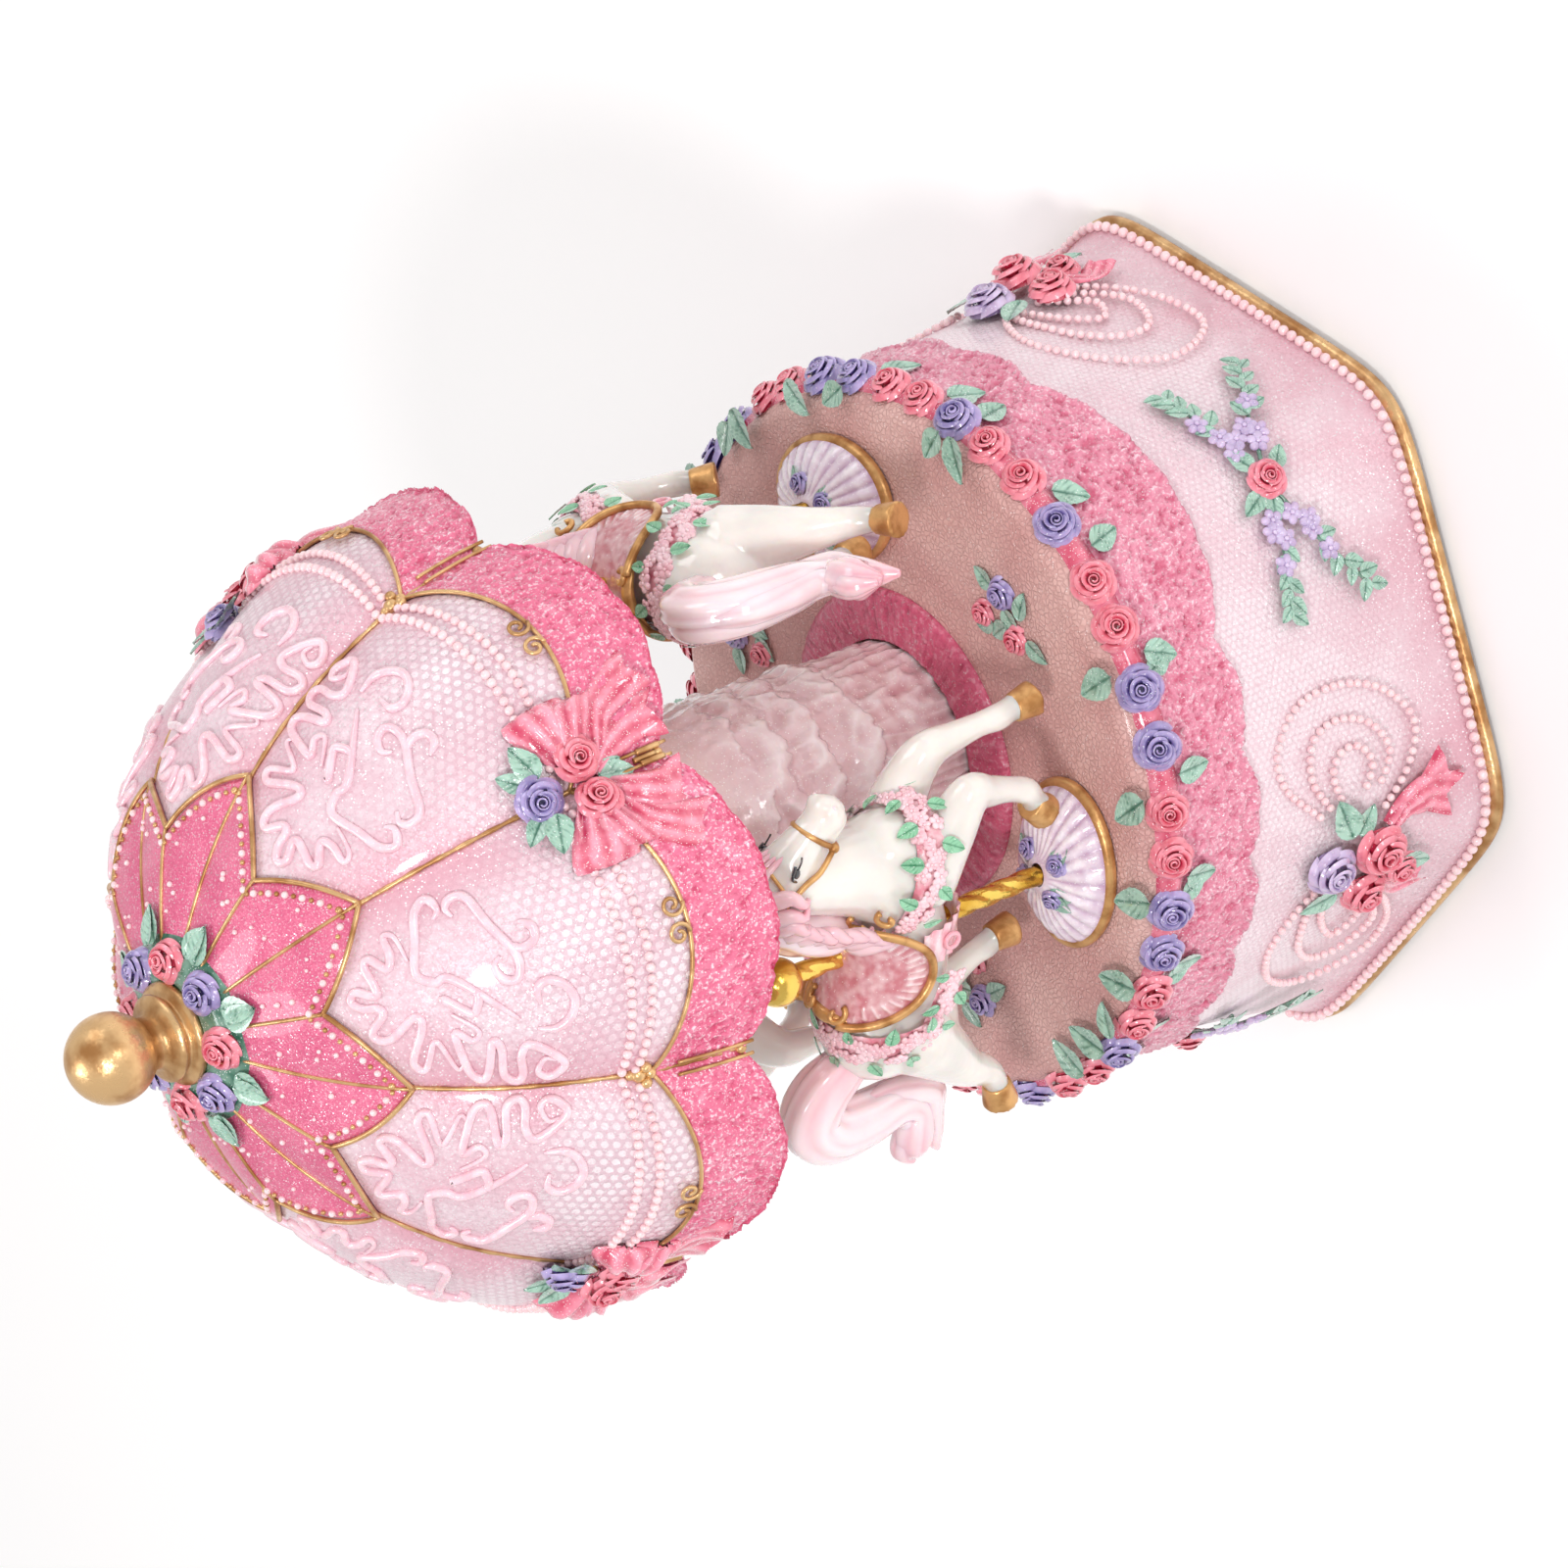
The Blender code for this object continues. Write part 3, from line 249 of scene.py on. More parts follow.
class Form:
    """Points and faces that become one mesh. Each point has a tone, 0 in a hollow and 1 on a crest, which on
    most pieces paints shade into the hollows and highlight onto the crests.
    """

    def __init__(self):
        self.points = []
        self.faces = []
        self.slots = []
        self.tones = []
        self.nets = []

    def point(self, spot, tone=1.0, net=(0.0, 0.0, 0.0)):
        self.points.append(tuple(spot))
        self.tones.append(tone)
        self.nets.append(net)
        return len(self.points) - 1

    def face(self, corners, slot=0):
        self.faces.append(tuple(corners))
        self.slots.append(slot)

    def skin(self, rows, slot=0, wrap=True, tones=None, nets=None, loop=False):
        """Faces between rows of points. A row of one point closes an end."""
        made = []
        for i, row in enumerate(rows):
            line = []
            for j, spot in enumerate(row):
                tone = tones[i][j] if tones else 1.0
                net = nets[i][j] if nets else (0.0, 0.0, 0.0)
                line.append(self.point(spot, tone, net))
            made.append(line)
        pairs = list(zip(made, made[1:]))
        if loop:
            pairs.append((made[-1], made[0]))
        for lower, upper in pairs:
            count = max(len(lower), len(upper))
            for i in range(count if wrap else count - 1):
                j = (i + 1) % count
                if len(lower) == 1:
                    self.face((lower[0], upper[j], upper[i]), slot)
                elif len(upper) == 1:
                    self.face((lower[i], lower[j], upper[0]), slot)
                else:
                    self.face((lower[i], lower[j], upper[j], upper[i]), slot)

    def sheet(self, levels, columns, make, slot=0, wrap=True):
        """A skin over a grid, where make(level, column) gives a point, its tone and perhaps its net."""
        grid = [[make(level, column) for column in columns] for level in levels]
        kinds = range(len(grid[0][0]))
        spots, *extras = [[[point[kind] for point in line] for line in grid] for kind in kinds]
        self.skin(spots, slot, wrap, *extras)

    def lathe(self, profile, count=64, spot=(0, 0, 0), loop=False):
        rows = []
        for radius, z in profile:
            turns = around(count) if radius else [0.0]
            rows.append([Vector(spot) + polar(radius, az, z) for az in turns])
        self.skin(rows, loop=loop)

    def tube(self, path, radius, slot=0, sides=8, closed=False, tone=1.0, flat=1.0):
        """A round rod along a path. Radius and tone are a number or one for each point; flat squeezes it."""
        count = len(path)
        radii = radius if isinstance(radius, list) else [radius] * count
        tones = tone if isinstance(tone, list) else [tone] * count
        rows = []
        up = None
        for i in range(count):
            before = path[i - 1] if closed or i else path[0]
            after = path[(i + 1) % count] if closed or i < count - 1 else path[-1]
            ahead = (after - before).normalized()
            if up is None:
                up = ahead.orthogonal().normalized()
            up = (up - ahead * up.dot(ahead)).normalized()
            side = ahead.cross(up)
            ring = []
            for k in range(sides):
                turn = 2 * math.pi * k / sides
                ring.append(path[i] + (up * math.cos(turn) + side * math.sin(turn) * flat) * radii[i])
            rows.append(ring)
        if not closed:
            rows = [[path[0]]] + rows + [[path[-1]]]
            tones = [tones[0]] + tones + [tones[-1]]
        self.skin(rows, slot, loop=closed, tones=[[shade] * len(row) for shade, row in zip(tones, rows)])

    def stamp(self, other, place, slot=None):
        """Adds a copy of another form."""
        first = len(self.points)
        move = np.array(place)
        self.points += (np.array(other.points) @ move[:3, :3].T + move[:3, 3]).tolist()
        self.tones += other.tones
        self.nets += other.nets
        self.faces += [tuple(first + corner for corner in face) for face in other.faces]
        self.slots += other.slots if slot is None else [slot] * len(other.faces)

    def plant(self, other, slot, surface, az, level, out, turn, size, tilt=0.0, pitch=0.0):
        """Adds a copy of another form lying on a surface."""
        self.stamp(other, seat(surface, az, level, out, turn, size, tilt, pitch), slot)

    def ball(self, spot, radius, slot=0):
        self.stamp(BALL, moved(spot) @ Matrix.Scale(radius, 4), slot)

    def build(self, name, paints, slot, replaces="", place=None):
        """Makes the piece, which rides on the figure and takes the place of the CAD node it replaces."""
        mesh = bpy.data.meshes.new(name)
        mesh.from_pydata([(x * MM, y * MM, z * MM) for x, y, z in self.points], [], self.faces)
        for paint in paints:
            mesh.materials.append(PAINTS[paint])
        mesh.polygons.foreach_set("material_index", self.slots)
        mesh.polygons.foreach_set("use_smooth", [True] * len(self.faces))
        mesh.attributes.new("tone", "FLOAT", "POINT").data.foreach_set("value", self.tones)
        net = mesh.attributes.new("net", "FLOAT_VECTOR", "POINT")
        net.data.foreach_set("vector", [value for spot in self.nets for value in spot])
        mesh.update()
        piece = bpy.data.objects.new(name, mesh)
        bpy.context.scene.collection.objects.link(piece)
        if place is not None:
            piece.matrix_world = place
        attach(piece, "figure")
        if replaces:
            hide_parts(replaces)


def unit_ball():
    form = Form()
    shape = bmesh.new()
    bmesh.ops.create_icosphere(shape, subdivisions=2, radius=1.0)
    for vert in shape.verts:
        form.point(vert.co)
    for face in shape.faces:
        form.face([vert.index for vert in face.verts])
    shape.free()
    return form


BALL = unit_ball()


def unit_rose():
    """An open rose of radius 1 facing +Z: petals lapping like a pinwheel round a short bud. Its tones paint
    shade deep in the flower and highlight on the petal rims.
    """
    form = Form()
    rng = random.Random(4)
    form.lathe([(0.84, -0.1), (0.78, 0.1), (0.5, 0.24), (0, 0.28)], 14)
    # the dome under the petals is painted dark, as shade
    form.tones = [0.1] * len(form.tones)
    whorls = ((5, 1.0, -0.06, 0.44, 0.3), (4, 0.76, 0.12, 0.5, 0.16), (3, 0.5, 0.3, 0.48, 0.08))
    for count, reach, lift, rise, droop in whorls:
        for k in range(count):
            centre = 2 * math.pi * (k + count * 0.21 + rng.uniform(-0.09, 0.09)) / count
            half = 1.42 * math.pi / count
            long = reach * rng.uniform(0.93, 1.04)

            def petal(v, u):
                turn = centre + u * half * (0.55 + 0.45 * v)
                rim = 1 - 0.2 * abs(u) ** 3 + 0.05 * (1 - abs(u))
                radius = long * (0.36 + 0.64 * v * rim) * (1 - 0.11 * u)
                roll = max(v - 0.66, 0) / 0.34
                height = lift + rise * math.sin(min(v / 0.78, 1) * math.pi / 2) * rim
                height += 0.1 * u * v - droop * roll ** 1.6
                spot = (radius * math.cos(turn), radius * math.sin(turn), height)
                # petal tone: painted shade towards the heart and on one side, painted highlight on the rim
                return spot, clamp(1.05 * v ** 2.1 - 0.2 * max(u, 0))

            form.sheet(np.linspace(0, 1, 8), np.linspace(-1, 1, 11), petal, wrap=False)

    def bud(level, i):
        reach, height, tone = level
        turn = 2 * math.pi * i / 19
        radius = 0.03 + 0.23 * i / 33 + reach
        return (radius * math.cos(turn), radius * math.sin(turn), height - 0.1 * i / 33), tone

    # the bud is painted dark in its heart as shade and light on its rim as highlight
    rim = ((0.0, 0.4, 0.0), (0.02, 0.74, 0.5), (0.05, 0.84, 1.0), (0.1, 0.72, 0.8))
    form.sheet(rim, range(34), bud, wrap=False)
    return form


def unit_leaf():
    """A rose leaf of length 1 along +X facing +Z, folded at its rib and nicked round its edge."""

    def blade(v, u):
        half = 0.31 * math.sin(math.pi * min(v ** 0.72, 1.0)) ** 0.75 + 0.01
        half *= 1 + 0.1 * (1 - ((v * 7) % 1.0))
        vein = abs(math.sin(math.pi * (v * 6 - abs(u) * 1.6)))
        height = 0.13 * abs(u) - 0.06 * u * u - 0.1 * v * v + 0.012 * vein + 0.05
        return (v - 0.02, u * half, height), clamp(min(abs(u) * 4.5, 0.25 + vein * 1.3))

    form = Form()
    form.sheet(np.linspace(0, 1, 17), np.linspace(-1, 1, 11), blade, wrap=False)
    return form


def unit_blossom():
    """A small flat flower of five round petals, radius 1, facing +Z."""
    form = Form()
    for k in range(5):
        form.stamp(BALL, turned(72 * k, "Z") @ moved((0.55, 0, 0.12)) @ Matrix.Diagonal((0.46, 0.4, 0.26, 1)))
    form.tones = [0.75] * len(form.tones)
    form.stamp(BALL, moved((0, 0, 0.3)) @ Matrix.Diagonal((0.2, 0.2, 0.16, 1)))
    return form


ROSE = unit_rose()
LEAF = unit_leaf()
BLOSSOM = unit_blossom()


# ---------------------------------------------------------------- materials


def colour(code):
    values = []
    for i in (0, 2, 4):
        part = int(code[i:i + 2], 16) / 255.0
        values.append(part / 12.92 if part <= 0.04045 else ((part + 0.055) / 1.055) ** 2.4)
    return (*values, 1.0)


class Paint:
    """A Principled material with short ways to wire noise, sparkle and relief into it."""

    def __init__(self, name, roughness=0.4, metallic=0.0, coat=0.0, sub=0.0):
        self.material = bpy.data.materials.new(name)
        self.material.use_nodes = True
        self.tree = self.material.node_tree
        self.shader = self.tree.nodes["Principled BSDF"]
        values = {"Roughness": roughness, "Metallic": metallic, "Coat Weight": coat, "Coat Roughness": 0.07,
                  "Subsurface Weight": sub, "Subsurface Scale": 0.004}
        for socket, value in values.items():
            self.shader.inputs[socket].default_value = value
        self.spot = self.node("TexCoord").outputs["Object"]
        self.normal = None

    def node(self, kind, props=None, **inputs):
        made = self.tree.nodes.new("ShaderNode" + kind)
        for key, value in (props or {}).items():
            setattr(made, key, value)
        for key, value in inputs.items():
            self.wire(value, made.inputs[key])
        return made

    def wire(self, value, socket):
        if isinstance(value, bpy.types.NodeSocket):
            self.tree.links.new(value, socket)
        else:
            socket.default_value = value

    def maths(self, operation, *values, clamped=False):
        made = self.node("Math", {"operation": operation, "use_clamp": clamped})
        for value, socket in zip(values, made.inputs):
            self.wire(value, socket)
        return made.outputs[0]

    def vectors(self, operation, first, second):
        made = self.node("VectorMath", {"operation": operation})
        self.wire(first, made.inputs[0])
        self.wire(second, made.inputs["Scale" if operation == "SCALE" else 1])
        return made.outputs[0]

    def spread(self, value, low, high, out_low=0.0, out_high=1.0):
        """Smoothly stretches low..high of a value to out_low..out_high."""
        made = self.node("MapRange", {"interpolation_type": "SMOOTHSTEP"})
        for item, socket in zip((value, low, high, out_low, out_high), made.inputs):
            self.wire(item, socket)
        return made.outputs[0]

    def mix(self, share, first, second):
        """Second over first. A colour is a socket or a hex code."""
        made = self.node("Mix", {"data_type": "RGBA"})
        self.wire(share, made.inputs[0])
        for value, socket in ((first, 6), (second, 7)):
            self.wire(colour(value) if isinstance(value, str) else value, made.inputs[socket])
        return made.outputs[2]

    def noise(self, scale, detail=2.0, stretch=None):
        spot = self.spot
        if stretch:
            spot = self.node("Mapping", Vector=spot, Scale=stretch).outputs[0]
        return self.node("TexNoise", Vector=spot, Scale=scale, Detail=detail).outputs[0]

    def cells(self, scale):
        return self.node("TexVoronoi", Vector=self.spot, Scale=scale)

    def tone(self):
        return self.node("Attribute", {"attribute_name": "tone"}).outputs["Fac"]

    def net_spot(self):
        """Millimetres across and up the net, and its strength."""
        spot = self.node("Attribute", {"attribute_name": "net"}).outputs["Vector"]
        return self.node("SeparateXYZ", Vector=spot)

    def clouded(self, cloud, low, high, out_low, out_high):
        """The tone, lifted and lowered by a cloud."""
        return self.maths("ADD", self.tone(), self.spread(cloud, low, high, out_low, out_high), clamped=True)

    def sparkle(self, scale, share):
        """Small bright specks, a share of the cells of that scale. Paints colour them near white as painted
        glints.
        """
        cells = self.cells(scale)
        chance = self.node("SeparateColor", Color=cells.outputs["Color"]).outputs[0]
        lucky = self.maths("GREATER_THAN", chance, 1 - share)
        return self.maths("MULTIPLY", lucky, self.spread(cells.outputs["Distance"], 0.42, 0.25))

    def relief(self, height, depth):
        """Adds a bump of that depth in millimetres."""
        bump = self.node("Bump", Strength=1.0, Distance=depth * MM, Height=height)
        if self.normal:
            self.wire(self.normal, bump.inputs["Normal"])
        self.normal = bump.outputs[0]

    def flakes(self, scale, strength):
        """Turns each tiny cell a little its own way, as metal flakes lie."""
        centred = self.vectors("SUBTRACT", self.cells(scale).outputs["Color"], (0.5, 0.5, 0.5))
        start = self.normal or self.node("NewGeometry").outputs["Normal"]
        total = self.vectors("ADD", start, self.vectors("SCALE", centred, strength))
        self.normal = self.node("VectorMath", {"operation": "NORMALIZE"}, Vector=total).outputs[0]

    def net(self, pitch):
        """Honeycomb threads, 1 on a thread and 0 in a cell, on the net coordinates in millimetres."""
        across, up, _ = self.net_spot().outputs
        wave = 2 * math.pi / (pitch * 0.866)
        total = None
        for turn in (0, 60, 120):
            first = self.maths("MULTIPLY", across, wave * math.cos(math.radians(turn)))
            both = self.maths("MULTIPLY_ADD", up, wave * math.sin(math.radians(turn)), first)
            part = self.maths("COSINE", both)
            total = part if total is None else self.maths("ADD", total, part)
        return self.spread(total, 0.6, -0.8)

    def done(self, base, roughness=None, metallic=None):
        sockets = {"Base Color": base, "Roughness": roughness, "Metallic": metallic, "Normal": self.normal}
        for socket, value in sockets.items():
            if value is not None:
                self.wire(value, self.shader.inputs[socket])
        return self.material

    def glittered(self, base, specks, roughness):
        """Finishes with specks that are smoother and more metallic than the paint between them."""
        rough = self.spread(specks, 0, 1, roughness, 0.15)
        return self.done(base, rough, self.spread(specks, 0, 1, 0.08, 0.45))


def pearl_tulle(name, pale, warm, pitch, depth):
    """Glittering pearl paint over tulle set in resin, with painted glints on its specks and painted shade in the
    dents of its grain. Tone pales it.
    """
    paint = Paint(name, coat=0.4)
    holes = paint.maths("SUBTRACT", 1.0, paint.net(pitch))
    strength = paint.net_spot().outputs[2]
    filled = paint.maths("MULTIPLY", holes, strength)
    gaps = paint.maths("MULTIPLY", paint.maths("SUBTRACT", 1.0, holes), strength)
    cloud = paint.noise(70.0, 4.0)
    grain = paint.noise(1700.0, 2.0)
    base = paint.mix(paint.clouded(cloud, 0.35, 0.68, -0.28, 0.22), warm, pale)
    lift = paint.spread(cloud, 0.35, 0.65, 0.25, 0.8)
    base = paint.mix(paint.maths("MULTIPLY", filled, lift), base, "fff6f9")
    base = paint.mix(paint.maths("MULTIPLY", gaps, 0.4), base, "c698a8")
    # painted shade: warmer and darker where the grain's bump is low
    base = paint.mix(paint.spread(grain, 0.44, 0.3, 0.0, 0.35), base, warm)
    specks = paint.sparkle(2900.0, 0.24)
    # specks whitened as painted glints
    base = paint.mix(specks, base, "ffffff")
    paint.relief(filled, depth)
    paint.relief(grain, 0.12)
    paint.flakes(2900.0, 0.42)
    return paint.glittered(base, specks, 0.38)


def glitter(name, deep, mid, bright, scale, specks_share, depth, grain_scale, painted_glints):
    """Coloured glitter paint, streaked with bright painted glints on its crinkles. Tone lifts it from deep to
    bright, painting shade into the hollows and highlight onto the crests of the lace, the skirt and the ring.
    """
    paint = Paint(name, coat=0.5)
    cloud = paint.noise(160.0, 3.0)
    grain = paint.noise(grain_scale, 3.0)
    crinkle = paint.noise(grain_scale * 1.5, 3.0)
    share = paint.clouded(cloud, 0.3, 0.7, -0.14, 0.14)
    base = paint.mix(paint.spread(share, 0.0, 0.5), deep, mid)
    base = paint.mix(paint.spread(share, 0.5, 1.0, 0.0, 0.8), base, bright)
    # painted shade: deeper where the grain's bump is low
    base = paint.mix(paint.spread(grain, 0.42, 0.28, 0.0, 0.45), base, deep)
    # painted glints: pale streaks on the crinkles, strongest where the tone is high
    lift = paint.spread(share, 0.1, 0.75, 0.2 * painted_glints, painted_glints)
    base = paint.mix(paint.maths("MULTIPLY", paint.spread(crinkle, 0.55, 0.64), lift), base, "ffeaf1")
    specks = paint.sparkle(scale, specks_share)
    # specks whitened as painted glints
    base = paint.mix(specks, base, "fff2f6")
    paint.relief(grain, depth)
    paint.relief(crinkle, depth * 0.8)
    paint.flakes(scale, 0.45)
    return paint.glittered(base, specks, 0.36)


def enamel(name, deep, bright, roughness=0.3, painted_glint_share=0.05):
    """Painted casting, lifted by its tone from deep to bright: on most pieces painted shade in the hollows and a
    pearly painted highlight on the crests.
    """
    paint = Paint(name, coat=1.0, sub=0.1)
    cloud = paint.noise(420.0, 3.0)
    # tone: painted shade in hollows and painted highlight on crests, except on the leaves, where it marks their
    # veins and pale edges
    base = paint.mix(paint.clouded(cloud, 0.3, 0.7, -0.25, 0.2), deep, bright)
    specks = paint.sparkle(3800.0, painted_glint_share)
    # specks whitened as painted glints
    base = paint.mix(paint.maths("MULTIPLY", specks, 0.7), base, "ffffff")
    paint.relief(paint.noise(700.0, 2.0), 0.05)
    paint.flakes(1900.0, 0.14)
    return paint.done(base, paint.spread(cloud, 0.3, 0.7, roughness - 0.06, roughness + 0.1))


def metal(name, deep, bright, roughness, metallic, wear=160.0, grain=0.04):
    """Gold paint or plated metal, duller and darker in patches."""
    paint = Paint(name, metallic=metallic)
    patches = paint.noise(wear, 4.0)
    base = paint.mix(paint.spread(patches, 0.32, 0.62), deep, bright)
    paint.relief(paint.noise(wear * 9, 2.0), grain)
    paint.flakes(2400.0, 0.1)
    return paint.done(base, paint.spread(patches, 0.3, 0.7, roughness + 0.12, roughness - 0.04))


def moulded(name, deep, bright, roughness, coat=0.0, sub=0.0, grain=0.05):
    """Plain moulded or cast material with slight mottling."""
    paint = Paint(name, coat=coat, sub=sub)
    mottle = paint.noise(500.0 / 6, 4.0)
    share = paint.maths("MULTIPLY", paint.tone(), paint.spread(mottle, 0.25, 0.6, 0.72, 1.0))
    base = paint.mix(share, deep, bright)
    paint.relief(paint.noise(1200.0, 2.0), grain)
    return paint.done(base, paint.spread(mottle, 0.3, 0.7, roughness + 0.06, roughness - 0.05))


def cad_paint(name, deep, bright, roughness, metallic=0.0, scale=500.0, grain=0.04):
    """Mottled material for CAD nodes, which carry no tone."""
    paint = Paint(name, metallic=metallic)
    mottle = paint.noise(scale / 5, 4.0)
    base = paint.mix(paint.spread(mottle, 0.3, 0.65), deep, bright)
    paint.relief(paint.noise(scale * 3, 2.0, stretch=(1.0, 1.0, 0.25)), grain)
    return paint.done(base, paint.spread(mottle, 0.3, 0.7, roughness + 0.08, roughness - 0.05))


def floor_cloth(name):
    """Dusty pink tulle stretched over the floor, with fine sparkle painted in as glints."""
    paint = Paint(name, roughness=0.45, coat=0.15)
    weave = paint.node("TexVoronoi", {"feature": "DISTANCE_TO_EDGE"}, Vector=paint.spot, Scale=1100.0).outputs[0]
    base = paint.mix(paint.spread(paint.noise(60.0, 3.0), 0.3, 0.7), "d29d99", "e3b8b1")
    base = paint.mix(paint.spread(weave, 0.16, 0.02, 0.0, 0.35), base, "bd8684")
    # specks whitened as painted glints
    base = paint.mix(paint.sparkle(3200.0, 0.07), base, "f6e4e2")
    paint.relief(paint.spread(weave, 0.0, 0.2), 0.12)
    paint.relief(paint.noise(1500.0, 3.0), 0.08)
    return paint.done(base)


def column_resin(name):
    """Translucent rose resin, warmer towards the top."""
    paint = Paint(name, coat=1.0, sub=0.15)
    height = paint.node("SeparateXYZ", Vector=paint.spot).outputs[2]
    cloud = paint.noise(120.0, 3.0)
    # below the shaft the tone paints shade in the folds and highlight on the swells
    low = paint.mix(paint.tone(), "d4959e", "ffeef0")
    high = paint.mix(paint.spread(cloud, 0.3, 0.7), "dcaea1", "f0cfc2")
    base = paint.mix(paint.spread(height, 0.108, 0.136), low, high)
    # specks whitened as painted glints
    base = paint.mix(paint.sparkle(3000.0, 0.18), base, "fff4f2")
    paint.relief(paint.noise(420.0, 2.0), 0.2)
    paint.flakes(1900.0, 0.22)
    return paint.done(base, paint.spread(cloud, 0.3, 0.7, 0.26, 0.16))


PAINTS = {
    "pearl": pearl_tulle("pearl_tulle", "e2c9d2", "da9aab", 1.7, 0.1),
    "base": pearl_tulle("base_tulle", "e7d2d9", "daa6b3", 1.3, 0.07),
    "lace": glitter("rose_lace", "cf3c6a", "e66c90", "f6acc1", 3600.0, 0.12, 0.2, 1200.0, 0.75),
    "skirt": glitter("rose_skirt", "cd5577", "e289a2", "f4bccb", 3600.0, 0.12, 0.18, 1200.0, 0.65),
    "star": glitter("deep_rose_star", "be3a62", "d4557f", "e67a9a", 3200.0, 0.16, 0.1, 2200.0, 0.3),
    "ring": glitter("raspberry", "b03259", "cf5678", "de7f98", 3600.0, 0.05, 0.3, 700.0, 0.2),
    "coral": enamel("coral_rose", "cb2a4c", "ff98a8"),
    "purple": enamel("purple_rose", "514489", "b8a6d8"),
    "lavender": enamel("lavender_rose", "86689f", "dcc6e6"),
    "leaf": enamel("silver_leaf", "2f6b55", "a4c9b6", 0.32, 0.16),
    "sprig": enamel("green_sprig", "2c8055", "8fcaa3", 0.3, 0.08),
    "ribbon": enamel("satin_ribbon", "c92e57", "fd9fb3", 0.2, 0.24),
    "piping": enamel("pink_piping", "ecaebd", "fde0e8", 0.26, 0.08),
    "pearls": enamel("bead_pearl", "e795a5", "fbd6da", 0.2, 0.0),
    "blossom": enamel("pink_blossom", "e98a9c", "ffdbe1", 0.26, 0.05),
    "saddle": enamel("saddle_rose", "c8757f", "f8dfe1", 0.34, 0.05),
    "shell": enamel("shell_pearl", "c49fbe", "fdf3fa", 0.2, 0.16),
    "gold": metal("antique_gold", "a77543", "e0b884", 0.3, 0.66),
    "bright": metal("bright_gold", "c8932a", "f6d06a", 0.15, 0.95, 90.0, 0.02),
    "copper": metal("copper_gold", "a9743f", "deac70", 0.32, 0.6, 260.0),
    "horse": moulded("ivory_horse", "bdbab6", "efe9e2", 0.2, 1.0, 0.3, 0.03),
    "mane": moulded("mane_pink", "ee93a5", "ffe3e7", 0.2, 1.0, 0.2, 0.03),
    "eye": moulded("eye_black", "101012", "2a2a30", 0.12, 1.0),
    "inside": moulded("raw_resin", "cfc4c0", "e6dedb", 0.55),
    "floor": floor_cloth("floor_tulle"),
    "column": column_resin("column_resin"),
}
FLOWER_PAINTS = ("coral", "purple", "leaf", "lavender", "ribbon", "blossom", "gold")
CORAL, PURPLE, GREEN, LILAC, SATIN, _, GILT, BEADS = range(8)

CAD_PAINTS = (
    (cad_paint("grey_felt", "34343a", "4c4c54", 0.95, scale=2500.0, grain=0.35), "foot_pad"),
    (cad_paint("foot_plastic", "d8d0cb", "e8e2de", 0.42), "foot_disc"),
    (cad_paint("plate_plastic", "d6d0cc", "e8e4e0", 0.5), "bottom_plate"),
    (cad_paint("zinc_casting", "90938f", "b6b8ba", 0.42, 0.8, 400.0, 0.08), "movement_bedplate comb_seat"),
    (cad_paint("clock_brass", "b38c3e", "d8b262", 0.26, 1.0, 900.0, 0.02),
     "great_wheel spring_housing cylinder_drum cylinder_pinion cylinder_wheel governor_pinion governor_wheel"),
    (cad_paint("bright_steel", "a9a9ad", "cfcfd3", 0.26, 1.0, 900.0, 0.02),
     "winding_arbor bottom_screw_1 bottom_screw_2 bottom_screw_3 comb comb_screw_1 comb_screw_2 mainspring "
     "spring_bridge bracket_inner bracket_outer governor_bracket governor_shaft worm"),
    (cad_paint("black_plastic", "1e1e21", "35353a", 0.4), "fly"),
)


def paint_frame():
    for paint, nodes in CAD_PAINTS:
        for node in nodes.split():
            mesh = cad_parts[node].data
            mesh.materials.clear()
            mesh.materials.append(paint)


# ---------------------------------------------------------------- base


WALL = (
    (1.2, 0.3), (1.6, 0.7), (2.4, 0.7), (2.8, 0.2), (3.2, -0.5), (4.7, -0.5), (6.2, -0.8), (8.0, -1.1),
    (12.0, -1.3), (16.0, -1.4), (22.0, -1.2), (28.0, -1.0), (34.0, -0.7), (40.0, -0.4), (46.0, -0.1),
    (52.0, 0.1), (58.0, 0.1), (63.4, 0.0), (65.6, 0.0), (66.6, 0.0),
)
HOLLOW = ((55.4, 1.2), (55.4, 8.0), (50.0, 8.0), (50.0, 61.5))


